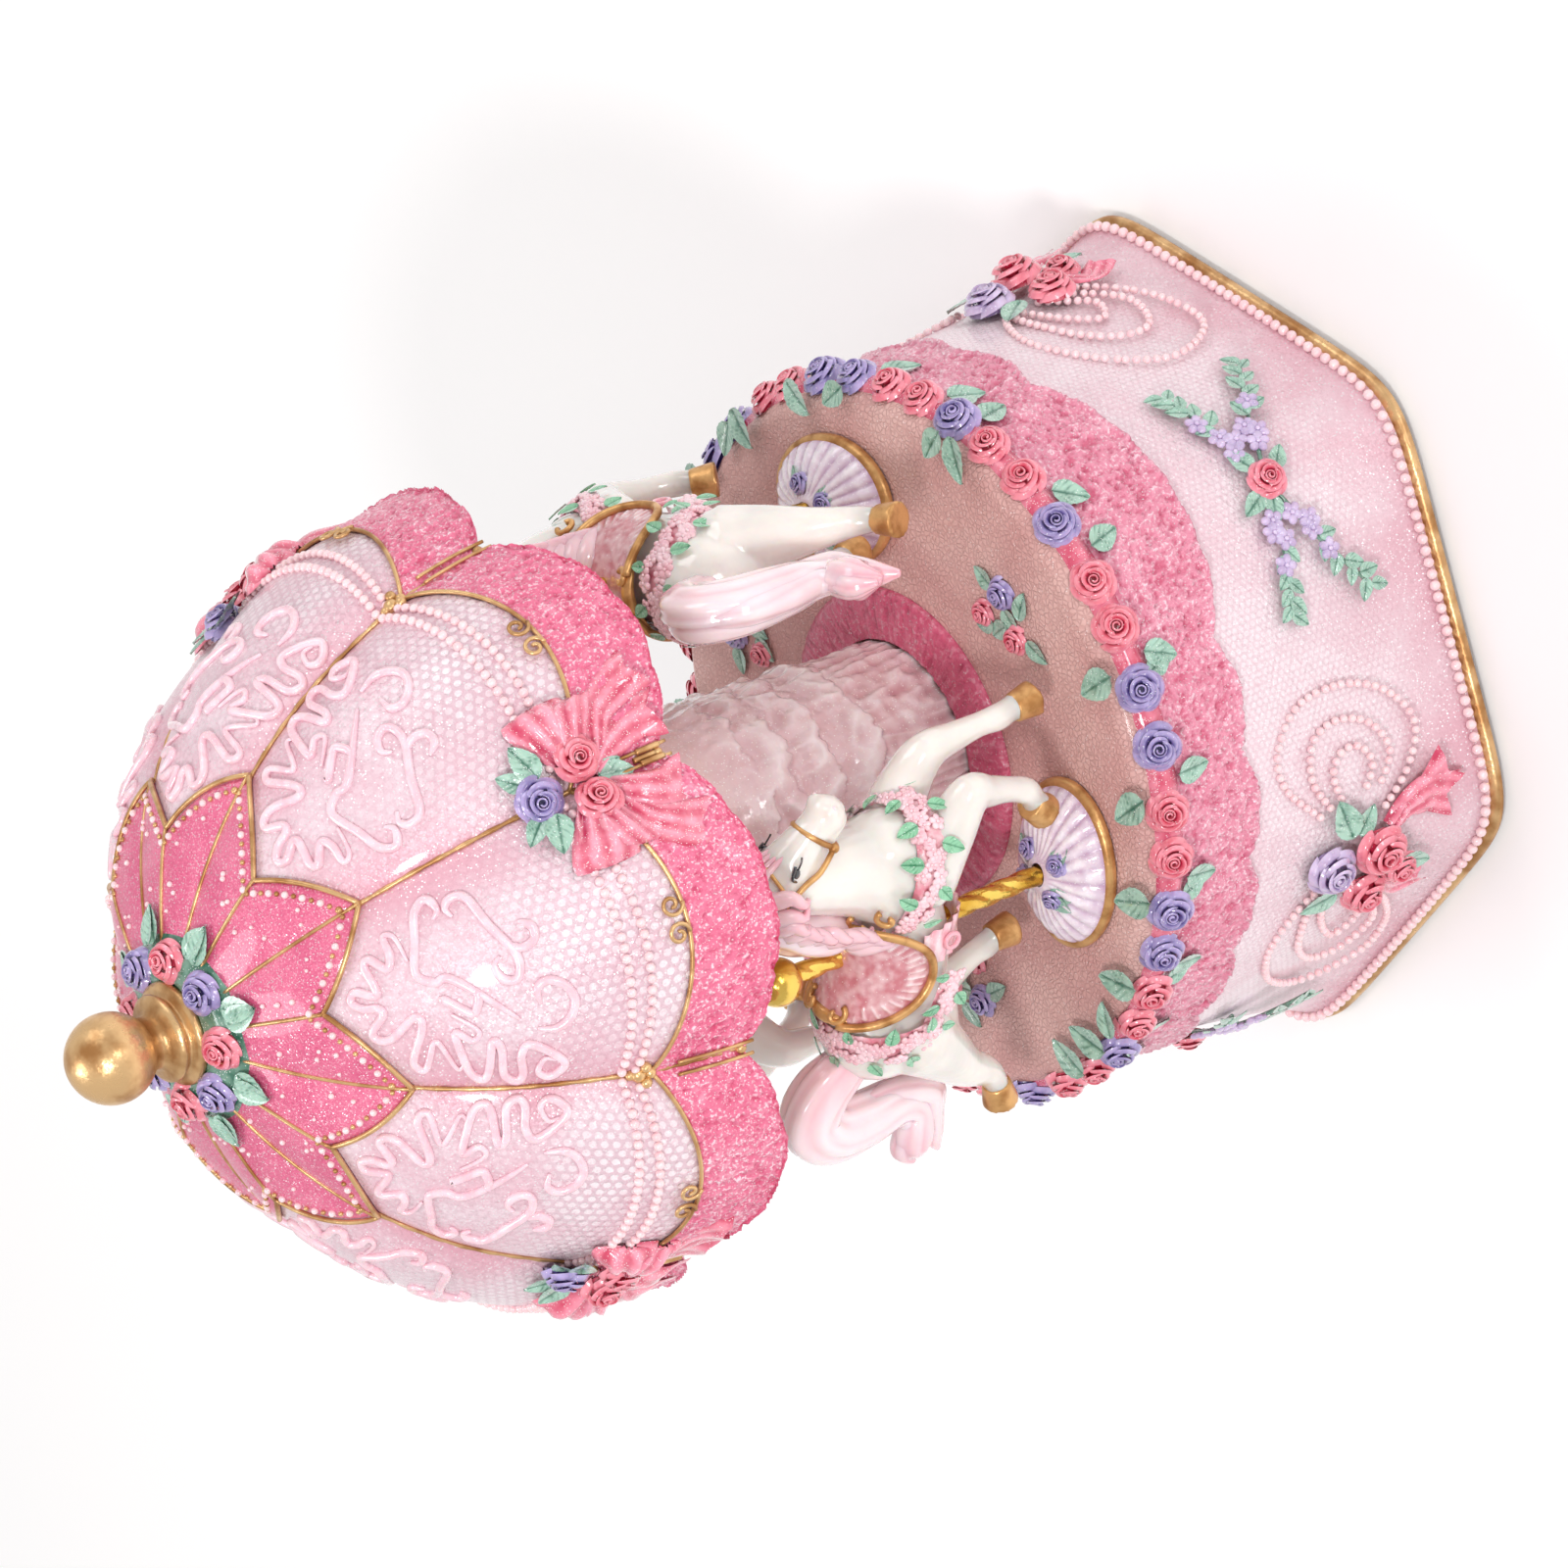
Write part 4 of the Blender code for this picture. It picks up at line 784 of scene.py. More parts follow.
def build_base():
    """The wall with its gold foot rim, the floor, the hollow underneath, and the beads at the foot."""
    turns = around(360, 180, seam=True)

    def wall(level, az):
        z, out = level
        wobble = 0.35 * noise.noise(polar(60, az, z) * 0.09) if 6 < z < 60 else 0.0
        tone = clamp(0.35 + 0.75 * ease((z - 4) / 26) - 0.35 * ease((z - 44) / 14))
        net = (math.radians(az) * 61, z * 1.06, 0.35 * ease((z - 8) / 12))
        return on_base(az, z, out + wobble), tone, net

    def ring(radius, z):
        return [polar(radius, az, z) for az in turns]

    form = Form()
    form.sheet(WALL[:5], turns, wall, 1, wrap=False)
    form.sheet(WALL[4:-2], turns, wall, 0, wrap=False)
    floor = [[on_base(az, z, out) for az in turns] for z, out in WALL[-3:]]
    floor += [ring(56.9, FLOOR_Z - 0.35)] + [ring(radius, FLOOR_Z) for radius in (56.0, 48.0, 36.0, 24.0, 0.0)]
    form.skin(floor, 2, wrap=False)
    hollow = [[on_base(az, *WALL[0]) for az in turns]] + [ring(*level) for level in HOLLOW]
    form.skin(hollow + [ring(0.0, HOLLOW[-1][1])], 3, wrap=False)
    form.build("base_body", ("base", "gold", "floor", "inside"), "base_pearl", "base_shell")

    form = Form()
    for az in around(206):
        form.ball(on_base(az, 4.6, 0.25), 0.9)
    form.build("base_pearls", ("pearls",), "base_pearl")


def build_skirt():
    """Crinkled lace hanging from the rim of the base."""

    def lace(part, az):
        z = SKIRT_Z + (skirt_edge(az) - SKIRT_Z) * part
        crinkle = crumple(polar(61, az, z))
        hem = 0.55 * math.exp(-((part - 0.955) / 0.03) ** 2)
        out = 0.8 + 0.75 * crinkle + hem if part <= 0.985 else -0.2
        # tone paints highlight on the crinkle crests and the hem, shade in the crinkle hollows
        return on_base(az, z, out), clamp(0.42 + 0.75 * crinkle + 0.25 * hem)

    form = Form()
    form.sheet(np.linspace(0, 1, 42), around(900), lace)
    form.build("base_lace_skirt", ("skirt",), "coral_rose")


GARLAND = (
    (-60, PURPLE), (-51, CORAL), (-43.5, CORAL), (-33.5, PURPLE), (-24.5, PURPLE), (-14.6, CORAL), (-7.2, CORAL),
    (3.3, PURPLE), (12.5, CORAL), (20.6, CORAL), (28.2, PURPLE), (36.2, CORAL), (43.6, CORAL), (52.0, PURPLE),
)


def build_garland():
    """Roses tipped outwards round the rim, with leaves in most gaps, on a satin band."""
    form = Form()
    rng = random.Random(11)
    for third in range(3):
        for i, (az, kind) in enumerate(GARLAND):
            az += 120 * third
            size = (3.7 if kind == PURPLE else 3.5) + 0.4 * rng.random()
            place = seat(on_base, az, 64.1, 0.7 + 0.3 * rng.random(), rng.uniform(0, 360), size)
            centre = moved(place.translation)
            form.stamp(ROSE, centre @ turned(-24, polar(1, az + 90, 0)) @ centre.inverted() @ place, kind)
            following = GARLAND[(i + 1) % len(GARLAND)]
            if following[1] == kind and rng.random() < 0.8:
                continue
            gap = az + 4.4
            lean = rng.uniform(-24, 24)
            if rng.random() < 0.6:
                form.plant(LEAF, GREEN, on_floor, gap - 1, 61.0, 0.8, 112 + lean, 7.8, pitch=12)
            if rng.random() < 0.3:
                form.plant(LEAF, GREEN, on_floor, gap + 2, 60.2, 0.5, 48 + lean, 6.4, pitch=8)
            form.plant(LEAF, GREEN, on_base, gap + 0.8, 61.6, 1.3, -100 + lean, 6.6, 10)
            if rng.random() < 0.5:
                form.plant(LEAF, GREEN, on_base, gap - 2.6, 62.0, 1.3, -60 + lean, 5.2, -10)

    def band(level, az):
        z, out = level
        return on_base(az, z, out + 0.3 * noise.noise(polar(60, az, z) * 0.4)), 0.35

    form.sheet(((66.3, -0.9), (65.6, 0.9), (63.6, 1.5), (61.6, 1.0), (61.0, -0.3)), range(360), band, SATIN)
    form.build("rim_roses", FLOWER_PAINTS, "coral_rose", "rose_garland")


def pearl_line(form, surface, points, pitch, radius, slot, out):
    """Beads at an even pitch along a smooth line on a surface."""
    path = [surface(*along(points, i / 240.0), out) for i in range(241)]
    travelled = 0.0
    form.ball(path[0], radius, slot)
    for a, b in zip(path, path[1:]):
        travelled += (b - a).length
        if travelled >= pitch:
            travelled -= pitch
            form.ball(b, radius, slot)


def ribbon_strip(form, surface, points, half, lift, phase):
    """A cast ribbon lying along (az, level) points: a domed strip with pleats and a notched end."""

    def strip(part, v):
        az, level = along(points, part)
        start = surface(*along(points, max(part - 0.02, 0.0)), 0)
        flow = (surface(*along(points, min(part + 0.02, 1.0)), 0) - start).normalized()
        spot = surface(az, level, 0)
        normal = (surface(az, level, 1.0) - spot).normalized()
        width = half * (0.45 + 0.75 * math.sin(min(part * 1.7, 1.57)))
        pleat = math.cos(v * 3 * math.pi + phase) * (1 - 0.5 * part)
        rise = lift * (1 - abs(v) ** 3) * (0.55 + 0.45 * math.sin(part * 6 + phase)) + 0.22 * pleat + 0.25
        notch = (1.1 * abs(v) - 0.5) * half * 0.7 * part ** 6
        spot = spot + normal.cross(flow) * (v * width) + normal * max(rise, 0.05) + flow * notch
        # tone paints highlight on the pleat crests and along the middle, shade in the pleat hollows
        return spot, clamp(0.42 + 0.5 * pleat + 0.25 * (1 - abs(v)) * part)

    form.sheet([i / 16 for i in range(17)], np.linspace(-1, 1, 13), strip, SATIN, wrap=False)


# shape, colour, degrees from the corner, height, lift, turn and size
BOUQUET = (
    (ROSE, LILAC, -3.2, 32.0, 0.6, 20, 4.5), (ROSE, CORAL, -9.6, 24.2, 0.7, 80, 4.1),
    (ROSE, CORAL, -1.2, 23.6, 1.2, 140, 4.7), (ROSE, CORAL, -5.8, 18.6, 0.3, 200, 3.4),
    (LEAF, GREEN, -8.2, 30.0, 0.6, 120, 6.6), (LEAF, GREEN, 2.2, 29.0, 0.8, 20, 7.4),
    (LEAF, GREEN, 2.0, 27.5, 0.6, -30, 5.6), (LEAF, GREEN, -4.0, 19.4, 0.9, -105, 6.4),
)
BOUQUET_LOOPS = (
    ((-7, 32), (-12, 36), (-20, 38), (-30, 33), (-36, 23), (-32, 13), (-22, 13), (-12, 19), (-8, 23)),
    ((-9, 33), (-15, 33), (-22, 31), (-27, 26), (-27, 20), (-20, 17), (-13, 21), (-8, 25)),
    ((6, 34), (12, 40), (18, 41), (24, 36), (25, 27), (22, 19), (16, 14.5), (10, 17), (5, 22)),
    ((7, 32), (12, 35), (18, 34), (20, 29), (18, 23), (13, 20), (8, 23)),
    ((-10, 31), (-15, 29.5), (-19, 27), (-21, 24), (-17, 21.5), (-13, 24), (-9, 27)),
    ((8, 30), (12, 31), (15, 29), (15, 25.5), (12, 23.5), (8, 25.5)),
)


def build_bouquets():
    for n, corner in enumerate(CORNERS):
        form = Form()

        def near_corner(across, z, out=0.0):
            return on_base(corner + across, z, out)

        for shape, kind, across, z, out, turn, size in BOUQUET:
            form.plant(shape, kind, on_base, corner + across, z, out, turn, size)
        for side in (-1, 1):
            flow = ((2.0, 22.0), (4.5, 18.5), (5.5, 14.5), (6.6 + side * 2.2, 10.4))
            ribbon_strip(form, near_corner, flow, 3.2, 1.5, side)
        ribbon_strip(form, near_corner, ((-8, 21), (-10.5, 17), (-9, 13.5)), 2.4, 1.1, 1)
        for loop in BOUQUET_LOOPS:
            pearl_line(form, near_corner, loop, 1.65, 0.7, BEADS, -0.05)
        node = "corner_bouquet_%d" % (n + 1)
        form.build("bouquet_%d" % (n + 1), (*FLOWER_PAINTS, "pearls"), "coral_rose", node)


SPRAY_Z = 27.4
SPRAY_LEAVES = ((-1.5, 29.2, 120, 5.0), (2.2, 28.4, 30, 5.2), (-2.5, 27.8, 165, 4.6), (1.0, 25.0, -40, 4.4))


def build_sprays():
    """Crossed twigs of leaves and blossoms round a small rose."""
    for n, centre in enumerate(SPRAYS):
        form = Form()
        rng = random.Random(40 + n)
        form.plant(ROSE, CORAL, on_base, centre, SPRAY_Z, 0.7, 30, 3.4)
        for across, z, turn, size in SPRAY_LEAVES:
            form.plant(LEAF, GREEN, on_base, centre + across, z, 0.5, turn, size)
        for side in (-1, 1):
            for climb in (5.2, -11.0):
                twig = [(side * across, SPRAY_Z + climb * part)
                        for across, part in ((0, 0.0), (8, 0.3), (14, 0.62), (19.5, 1.0))]
                path = [along(twig, i / 20) for i in range(21)]
                form.tube([on_base(centre + a, z, 0.35) for a, z in path], 0.4, GREEN, 6, tone=0.4)
                lean = math.degrees(math.atan2(climb, side * 20))
                for i in range(12):
                    part = 0.24 + 0.74 * i / 11.0
                    a, z = along(twig, part)
                    turn = lean + (48 if i % 2 else -48) + rng.uniform(-14, 14)
                    if i in (0, 1, 2, 5):
                        z += rng.uniform(-1.5, 1.5)
                        form.plant(BLOSSOM, LILAC, on_base, centre + a, z, 0.5, rng.uniform(0, 90), 2.0)
                    else:
                        size = rng.uniform(3.7, 4.6) - 0.8 * part
                        form.plant(LEAF, GREEN, on_base, centre + a, z, 0.5, turn, size)
        form.build("spray_%d" % (n + 1), FLOWER_PAINTS, "silver_leaf", "corner_spray_%d" % (n + 1))


RING_PROFILE = (
    (18.0, 1.7), (20.0, 1.7), (23.0, 1.6), (25.2, 1.4), (RING_RADIUS, 0.8), (RING_RADIUS + 0.1, 0.05),
)
POSY_ROSES = ((-7, 40.5, CORAL, 2.6), (4, 37, CORAL, 2.4), (2.5, 43.6, PURPLE, 2.9))
POSY_LEAVES = ((-9, 43, 200), (-3, 40.5, 80), (0, 42, 170), (5.5, 42.8, 10), (0, 38, 60), (-4, 44, -60))


def build_floor_ornaments():
    """The raspberry ring round the column, and three posies between the horses."""

    def ring(level, az):
        radius, lift = level
        rough = noise.noise(polar(radius, az, 0) * 0.8) + noise.noise(polar(radius, az, 5) * 2.0)
        spot = on_floor(az, radius, lift + 0.25 * rough if lift > 0.1 else lift)
        # tone paints highlight on the lumps and shade between them
        return spot, clamp(0.5 + 0.5 * rough)

    form = Form()
    form.sheet(RING_PROFILE, around(300), ring)
    form.build("ring_trim", ("ring",), "raspberry", "column_ring")

    form = Form()
    rng = random.Random(7)
    for centre in (0, 120, 240):
        for across, radius, kind, size in POSY_ROSES:
            form.plant(ROSE, kind, on_floor, centre + across, radius, 0.1, rng.uniform(0, 90), size)
        for across, radius, turn in POSY_LEAVES:
            form.plant(LEAF, GREEN, on_floor, centre + across, radius, 0.2, turn, 5.0)
    form.build("floor_posies", FLOWER_PAINTS, "coral_rose")


# ---------------------------------------------------------------- column


TIERS = ((85.0, 9.0), (93.5, 8.5), (101.0, 9.0), (108.0, 9.0))
PLEATS_TOP = 84.5


def build_column():
    """Pleated foot, ruched tiers, then a smooth shaft."""
    foot = FLOOR_Z + GAP
    levels = [foot + i * 0.5 for i in range(98)]
    levels += list(np.linspace(levels[-1] + 2, COLUMN_TOP, 14))

    def ruched(z, az):
        radius = 17.0 + 1.7 * min((z - FLOOR_Z) / (152.0 - FLOOR_Z) * 1.6, 1.0)
        spot = polar(18, az, z)
        pleat = 0.45 - 2.1 * abs(noise.noise(Vector((spot.x * 0.42, spot.y * 0.42, z * 0.07))))
        lumps = noise.noise(spot * 0.5)
        out = 0.0
        shade = 0.5
        if z < PLEATS_TOP:
            out = 0.35 + 0.75 * pleat + 0.45 * lumps
            shade = 0.55 + 0.5 * pleat + 0.35 * lumps
        for low, deep in TIERS:
            edge = low + 3.6 * noise.noise(Vector((spot.x * 0.12, spot.y * 0.12, low))) + 1.1 * pleat
            up = (z - edge) / deep
            if 0 <= up < 1:
                fold = 0.45 - 2.0 * abs(noise.noise(Vector((spot.x * 0.24, spot.y * 0.24, z * 0.16 + low))))
                swell = math.sin(math.pi * min(up + 0.28, 1.0))
                puff = 0.3 + swell * (1 - 0.4 * up) + 0.75 * fold * (1 - up ** 2) + 0.35 * lumps
                out = max(out, puff)
                shade = max(shade, 0.35 + 0.45 * swell + 0.5 * fold)
        smooth = ease((z - 107) / 10)
        out = out * (1 - smooth) + smooth * (-0.3 + 0.15 * lumps)
        return polar(radius + out, az, z), clamp(shade * (1 - smooth) + 0.6 * smooth)

    form = Form()
    turns = around(384)
    sides = [[ruched(z, az) for az in turns] for z in levels]
    sides = [[(Vector((0, 0, foot)), 0.5)]] + sides + [[(Vector((0, 0, COLUMN_TOP)), 0.5)]]
    form.skin([[spot for spot, _ in row] for row in sides], tones=[[tone for _, tone in row] for row in sides])
    form.build("ruched_column", ("column",), "column_resin", "column")


# ---------------------------------------------------------------- canopy


DOME_PROFILE = ((55.6, 160.0), (48.0, 175.0), (35.0, 189.0), (22.5, 195.5), (21.5, COLUMN_TOP + GAP))


def build_canopy():
    """The domed panels and the hollow under them."""
    turns = around(720, CANOPY_TURN + 180, seam=True)

    def dome(step, az):
        spot = on_canopy(az, step, -0.9 * ease((step - swag_step(az)) / 0.03))
        tone = clamp(0.1 + 0.85 * pillow(az) ** 0.6 + 0.25 * ease((step - 0.6) / 0.15))
        across = (panel_share(az) - 0.5) * math.radians(PANEL) * canopy_radius_height(az, step)[0]
        return spot, tone, (across, step * 100.0, 0.16 + 0.55 * ease((step - 0.56) / 0.16) * pillow(az))

    form = Form()
    form.sheet(np.linspace(0.02, 0.9, 56), turns, dome, 0, wrap=False)
    brim = [dome(0.9, az)[0] for az in turns]
    under = [brim]
    for part in (0.35, 0.7, 1.0):
        under.append([start.lerp(polar(edge_radius(az), az, edge_drop(az)), part)
                      for start, az in zip(brim, turns)])
    under.append([polar(edge_radius(az) - 1.7, az, edge_drop(az) + 0.2) for az in turns])
    form.skin(under, 1, wrap=False, tones=[[0.5] * len(turns)] * len(under))
    hollow = [under[-1]]
    for radius, z in DOME_PROFILE:
        swell = 0.8 if radius > 30 else 0.0
        hollow.append([polar(radius + swell * pillow(az), az, z) for az in turns])
    hollow.append([Vector((0, 0, COLUMN_TOP + GAP))] * len(turns))
    form.skin(hollow, 2, wrap=False)
    form.build("canopy_body", ("pearl", "lace", "inside"), "canopy_pearl", "canopy_shell")


def build_valance():
    """Crinkled lace with a rolled scalloped hem below the gold wire."""

    def lace(part, az):
        top = on_canopy(az, swag_step(az))
        bulge = on_canopy(az, min(swag_step(az) + 0.12, 0.95))
        low = polar(edge_radius(az), az, edge_drop(az))
        spot = Vector(along((top, bulge, low), part))
        crinkle = crumple(spot)
        hem = math.exp(-((part - 0.95) / 0.035) ** 2)
        out = max(0.55 + 0.6 * crinkle + 0.5 * hem, 0.15) * (ease(part / 0.06) * 0.7 + 0.3)
        if part > 0.985:
            out = -0.3
        # tone paints highlight on the crinkle crests, shade in their hollows and on the hem
        return spot + polar(1, az, 0) * out, clamp(0.5 + 0.6 * crinkle - 0.12 * hem)

    form = Form()
    form.sheet(np.linspace(0, 1, 46), around(1080), lace)
    form.build("canopy_valance", ("lace",), "canopy_pearl")


# piped lines as (share of a panel, step) points
SCROLLS = (
    ((0.12, 0.635), (0.13, 0.62), (0.08, 0.61), (0.05, 0.62), (0.06, 0.635), (0.11, 0.645), (0.2, 0.605),
     (0.16, 0.59), (0.07, 0.59), (0.04, 0.58), (0.08, 0.565), (0.2, 0.565), (0.23, 0.555), (0.09, 0.545),
     (0.06, 0.535), (0.11, 0.52), (0.29, 0.51), (0.25, 0.53), (0.29, 0.54), (0.38, 0.51)),
    ((0.14, 0.515), (0.12, 0.505), (0.265, 0.483), (0.12, 0.465), (0.17, 0.45), (0.35, 0.47),
     (0.39, 0.46), (0.3, 0.425), (0.3, 0.405), (0.35, 0.4), (0.43, 0.42), (0.47, 0.415), (0.48, 0.395),
     (0.53, 0.38), (0.58, 0.39), (0.54, 0.42), (0.69, 0.415), (0.72, 0.425), (0.65, 0.445), (0.7, 0.455),
     (0.78, 0.455), (0.8, 0.46), (0.77, 0.47), (0.65, 0.475)),
    ((0.42, 0.51), (0.45, 0.505), (0.37, 0.535), (0.39, 0.545), (0.44, 0.55), (0.48, 0.54)),
    ((0.31, 0.595), (0.4, 0.565), (0.53, 0.52), (0.53, 0.5), (0.59, 0.48), (0.74, 0.495), (0.83, 0.505),
     (0.87, 0.52), (0.86, 0.53), (0.81, 0.535), (0.78, 0.525)),
    ((0.56, 0.59), (0.53, 0.58), (0.48, 0.585), (0.46, 0.6), (0.49, 0.61), (0.56, 0.61), (0.68, 0.59),
     (0.81, 0.575), (0.83, 0.555), (0.8, 0.545), (0.76, 0.55)),
    ((0.61, 0.6), (0.57, 0.615), (0.57, 0.63), (0.59, 0.64), (0.63, 0.64), (0.66, 0.625)),
    ((0.26, 0.615), (0.25, 0.64), (0.28, 0.66), (0.34, 0.67), (0.4, 0.66), (0.43, 0.64), (0.41, 0.625),
     (0.35, 0.625)),
)


def build_scrolls():
    """Piped scrollwork, mirrored about the ribs that carry a bow."""
    form = Form()
    for panel in range(8):
        for points in SCROLLS:
            count = 9 * len(points)
            path = []
            radii = []
            for i in range(count):
                share, step = along(points, i / (count - 1))
                if panel % 2 == 0:
                    share = 1 - share
                path.append(on_canopy(CANOPY_TURN + PANEL * (panel + share), step, 0.22))
                radii.append(0.74 * (0.35 + 0.65 * min(1, 6 * i / count, 6 * (count - 1 - i) / count)))
            form.tube(path, radii, tone=0.55)
    form.build("canopy_scrolls", ("piping",), "canopy_pearl")


def build_star():
    """Eight-pointed glitter star with a gold edge, gold lines and set pearls."""

    def point(part, az):
        step = 0.04 + (star_reach(az) - 0.04) * part
        tone = clamp(0.75 - 0.5 * pillow(az) + 0.5 * part * pillow(az))
        return on_canopy(az, step, 0.85 if part < 1 else 0.1), tone

    form = Form()
    form.sheet(np.linspace(0, 1, 26), around(960, CANOPY_TURN), point)
    for panel in range(8):
        rib = CANOPY_TURN + PANEL * panel
        for az in (rib, rib + PANEL / 2):
            path = [on_canopy(az, 0.15 + (star_reach(az) - 0.15) * i / 16, 0.95) for i in range(17)]
            form.tube(path, 0.32, 1)
        turns = [CANOPY_TURN + PANEL * (panel + i / 48) for i in range(49)]
        form.tube([on_canopy(az, star_reach(az), 0.75) for az in turns], 0.42, 1)
    rng = random.Random(3)
    for half_panel in range(16):
        low = CANOPY_TURN + 22.5 * half_panel
        for i in range(12):
            az = low + 22.5 * (i + 0.5) / 12
            big = i % 2 == 0
            near_tip = abs(2 * panel_share(az) - 1) >= 0.93
            slot = 2 if big and not near_tip else 1
            form.ball(on_canopy(az, star_reach(az) - 0.026, 1.0), 0.6 if big else 0.42, slot)
        for i in range(5):
            az = low + rng.uniform(3, 19.5)
            step = rng.uniform(0.2, star_reach(az) - 0.05)
            form.ball(on_canopy(az, step, 1.0), rng.uniform(0.3, 0.5), 2)
    form.build("canopy_star", ("star", "gold", "pearls"), "deep_rose", "crown_star")


def swag_curl(hand):
    """Points of a flat spiral on (across, up), from its rim to its eye, standing on the wire."""
    points = []
    for i in range(24):
        turn = -math.pi / 2 - hand * 1.3 * 2 * math.pi * i / 23
        reach = 1.7 * (1 - 0.8 * i / 23)
        points.append((hand * 2.1 + reach * math.cos(turn), 1.7 + reach * math.sin(turn)))
    return points


KNOT = ((0, 0.755, 1.3), (-1.3, 0.765, 0.9), (1.3, 0.765, 0.9), (0, 0.775, 1.0), (0, 0.742, 0.8))


def build_trim():
    """Gold ribs, knobs and wires, and the strung pearls between them."""
    gold = Form()
    beads = Form()
    for rib in range(8):
        az = CANOPY_TURN + PANEL * rib
        start = star_reach(az)
        path = [on_canopy(az, start - 0.01 + (0.985 - start) * i / 50, 0.35) for i in range(51)]
        gold.tube(path, [0.36 + 0.08 * math.sin(i * 1.7 + rib) for i in range(51)])
        for side in (-1.0, 1.0):
            gold.tube([on_canopy(az + side, 0.82 + 0.17 * i / 12, 0.9) for i in range(13)], 0.3)
        gold.ball(on_canopy(az, 0.978, 0.7), 0.95)
        if rib % 2:
            for across, step, size in KNOT:
                gold.ball(on_canopy(az + across, step, 0.7), size)
        turns = [az + PANEL * i / 60 for i in range(61)]
        gold.tube([on_canopy(turn, swag_step(turn), 0.5) for turn in turns], 0.36)
        mid = az + PANEL / 2
        for hand in (-1, 1):
            path = [on_canopy(mid + x, swag_step(mid) - y * 0.0095, 0.9) for x, y in swag_curl(hand)]
            gold.tube(path, 0.34)
        for top, sag in ((0.727, 0.024), (0.748, 0.034)):
            shares = [0.02 + 0.96 * i / 8 for i in range(9)]
            line = [(az + PANEL * share, top + sag * (1 - (2 * share - 1) ** 2)) for share in shares]
            pearl_line(beads, on_canopy, line, 1.75, 0.78, 0, 0.35)
    gold.build("canopy_gold", ("gold",), "antique_gold")
    beads.build("canopy_pearls", ("pearls",), "canopy_pearl")


BOW_STEP = 0.795
STEP_PER_MM = 0.0101
BOW_LOOPS = ((2.4, 12.6, 4.6), (-3.4, 11.4, 4.0))
BOW_ENDS = (
    (((1, -2), (4, -6), (6.0, -11), (5.6, -15.0)), 3.6),
    (((1, -3), (8, -5.5), (10.8, -9.5), (11.8, -13)), 3.2),
)
BOW_ROSES = ((-3.4, -0.6, 3.7, CORAL), (3.4, -0.4, 3.7, CORAL), (0.3, 7.0, 3.9, PURPLE))
BOW_LEAVES = (
    (-3.0, 6.0, 160, 6.4), (3.4, 6.0, 20, 6.4), (-2.4, 8.0, 130, 5.0), (3.2, 8.2, 50, 4.6),
    (0.2, -3.2, -95, 6.0), (0.4, -3.4, -60, 4.2),
)


def build_bows():
    """Satin bows with roses on every other rib. Places are (degrees across, millimetres up)."""
    for n in range(4):
        rib = CANOPY_TURN + 90 * n
        form = Form()
        rng = random.Random(60 + n)

        def face(across, up, out=0.0):
            return on_canopy(rib + across, BOW_STEP - up * STEP_PER_MM, out)

        for side in (-1, 1):
            for tip_y, reach, half in BOW_LOOPS:

                def loop(part, v):
                    x = side * (1.2 + (reach - 1.2) * math.sin(part * math.pi / 2))
                    y = tip_y * part + 0.8 * math.sin(part * math.pi)
                    width = half * (0.3 + 0.8 * math.sin(min(part * 1.25, 1) * math.pi * 0.62))
                    width *= 1 - 0.75 * max(part - 0.85, 0) / 0.15
                    pleat = math.cos(v * 3.5 * math.pi + tip_y)
                    dome = (1 - abs(v) ** 2.4) * math.sin(clamp(part * 1.08) * math.pi * 0.93)
                    out = 0.5 + 3.4 * dome + 0.6 * pleat * (1 - part * 0.5)
                    # tone paints highlight on the pleat crests and the dome, shade in the pleat hollows
                    tone = clamp(0.42 + 0.5 * pleat * (1 - 0.3 * part) + 0.25 * dome)
                    return face(x, y + v * width, max(out, 0.1)), tone

                form.sheet([i / 18 for i in range(19)], np.linspace(-1, 1, 15), loop, SATIN, wrap=False)
            for flow, half in BOW_ENDS:
                ribbon_strip(form, face, [(side * x, y) for x, y in flow], half, 2.1, side)
        for across, up, size, kind in BOW_ROSES:
            step = BOW_STEP - up * STEP_PER_MM
            form.plant(ROSE, kind, on_canopy, rib + across, step, 1.9, rng.uniform(0, 360), size)
        for across, up, turn, size in BOW_LEAVES:
            form.plant(LEAF, GREEN, on_canopy, rib + across, BOW_STEP - up * STEP_PER_MM, 1.5, turn, size)
        for side in (-0.9, 0.0, 0.9):
            form.tube([face(side, -11.5 - 5.5 * i / 8, 1.2) for i in range(9)], 0.5, GILT)
        form.build("bow_%d" % (n + 1), FLOWER_PAINTS, "satin_pink", "canopy_bow_%d" % (n + 1))


FINIAL_FOOT = TOP_Z - 19.4
FINIAL_RADIUS = 7.1
# radius and height above the foot
FINIAL_COLLAR = (
    (2.2, 0.0), (7.6, 0.0), (8.1, 0.2), (8.3, 0.7), (8.1, 1.3), (7.4, 1.6), (6.5, 1.8), (6.3, 2.2), (6.6, 2.6),
    (7.0, 3.0), (6.9, 3.5), (6.2, 4.0), (5.0, 4.4), (4.3, 4.9), (4.2, 5.6),
)


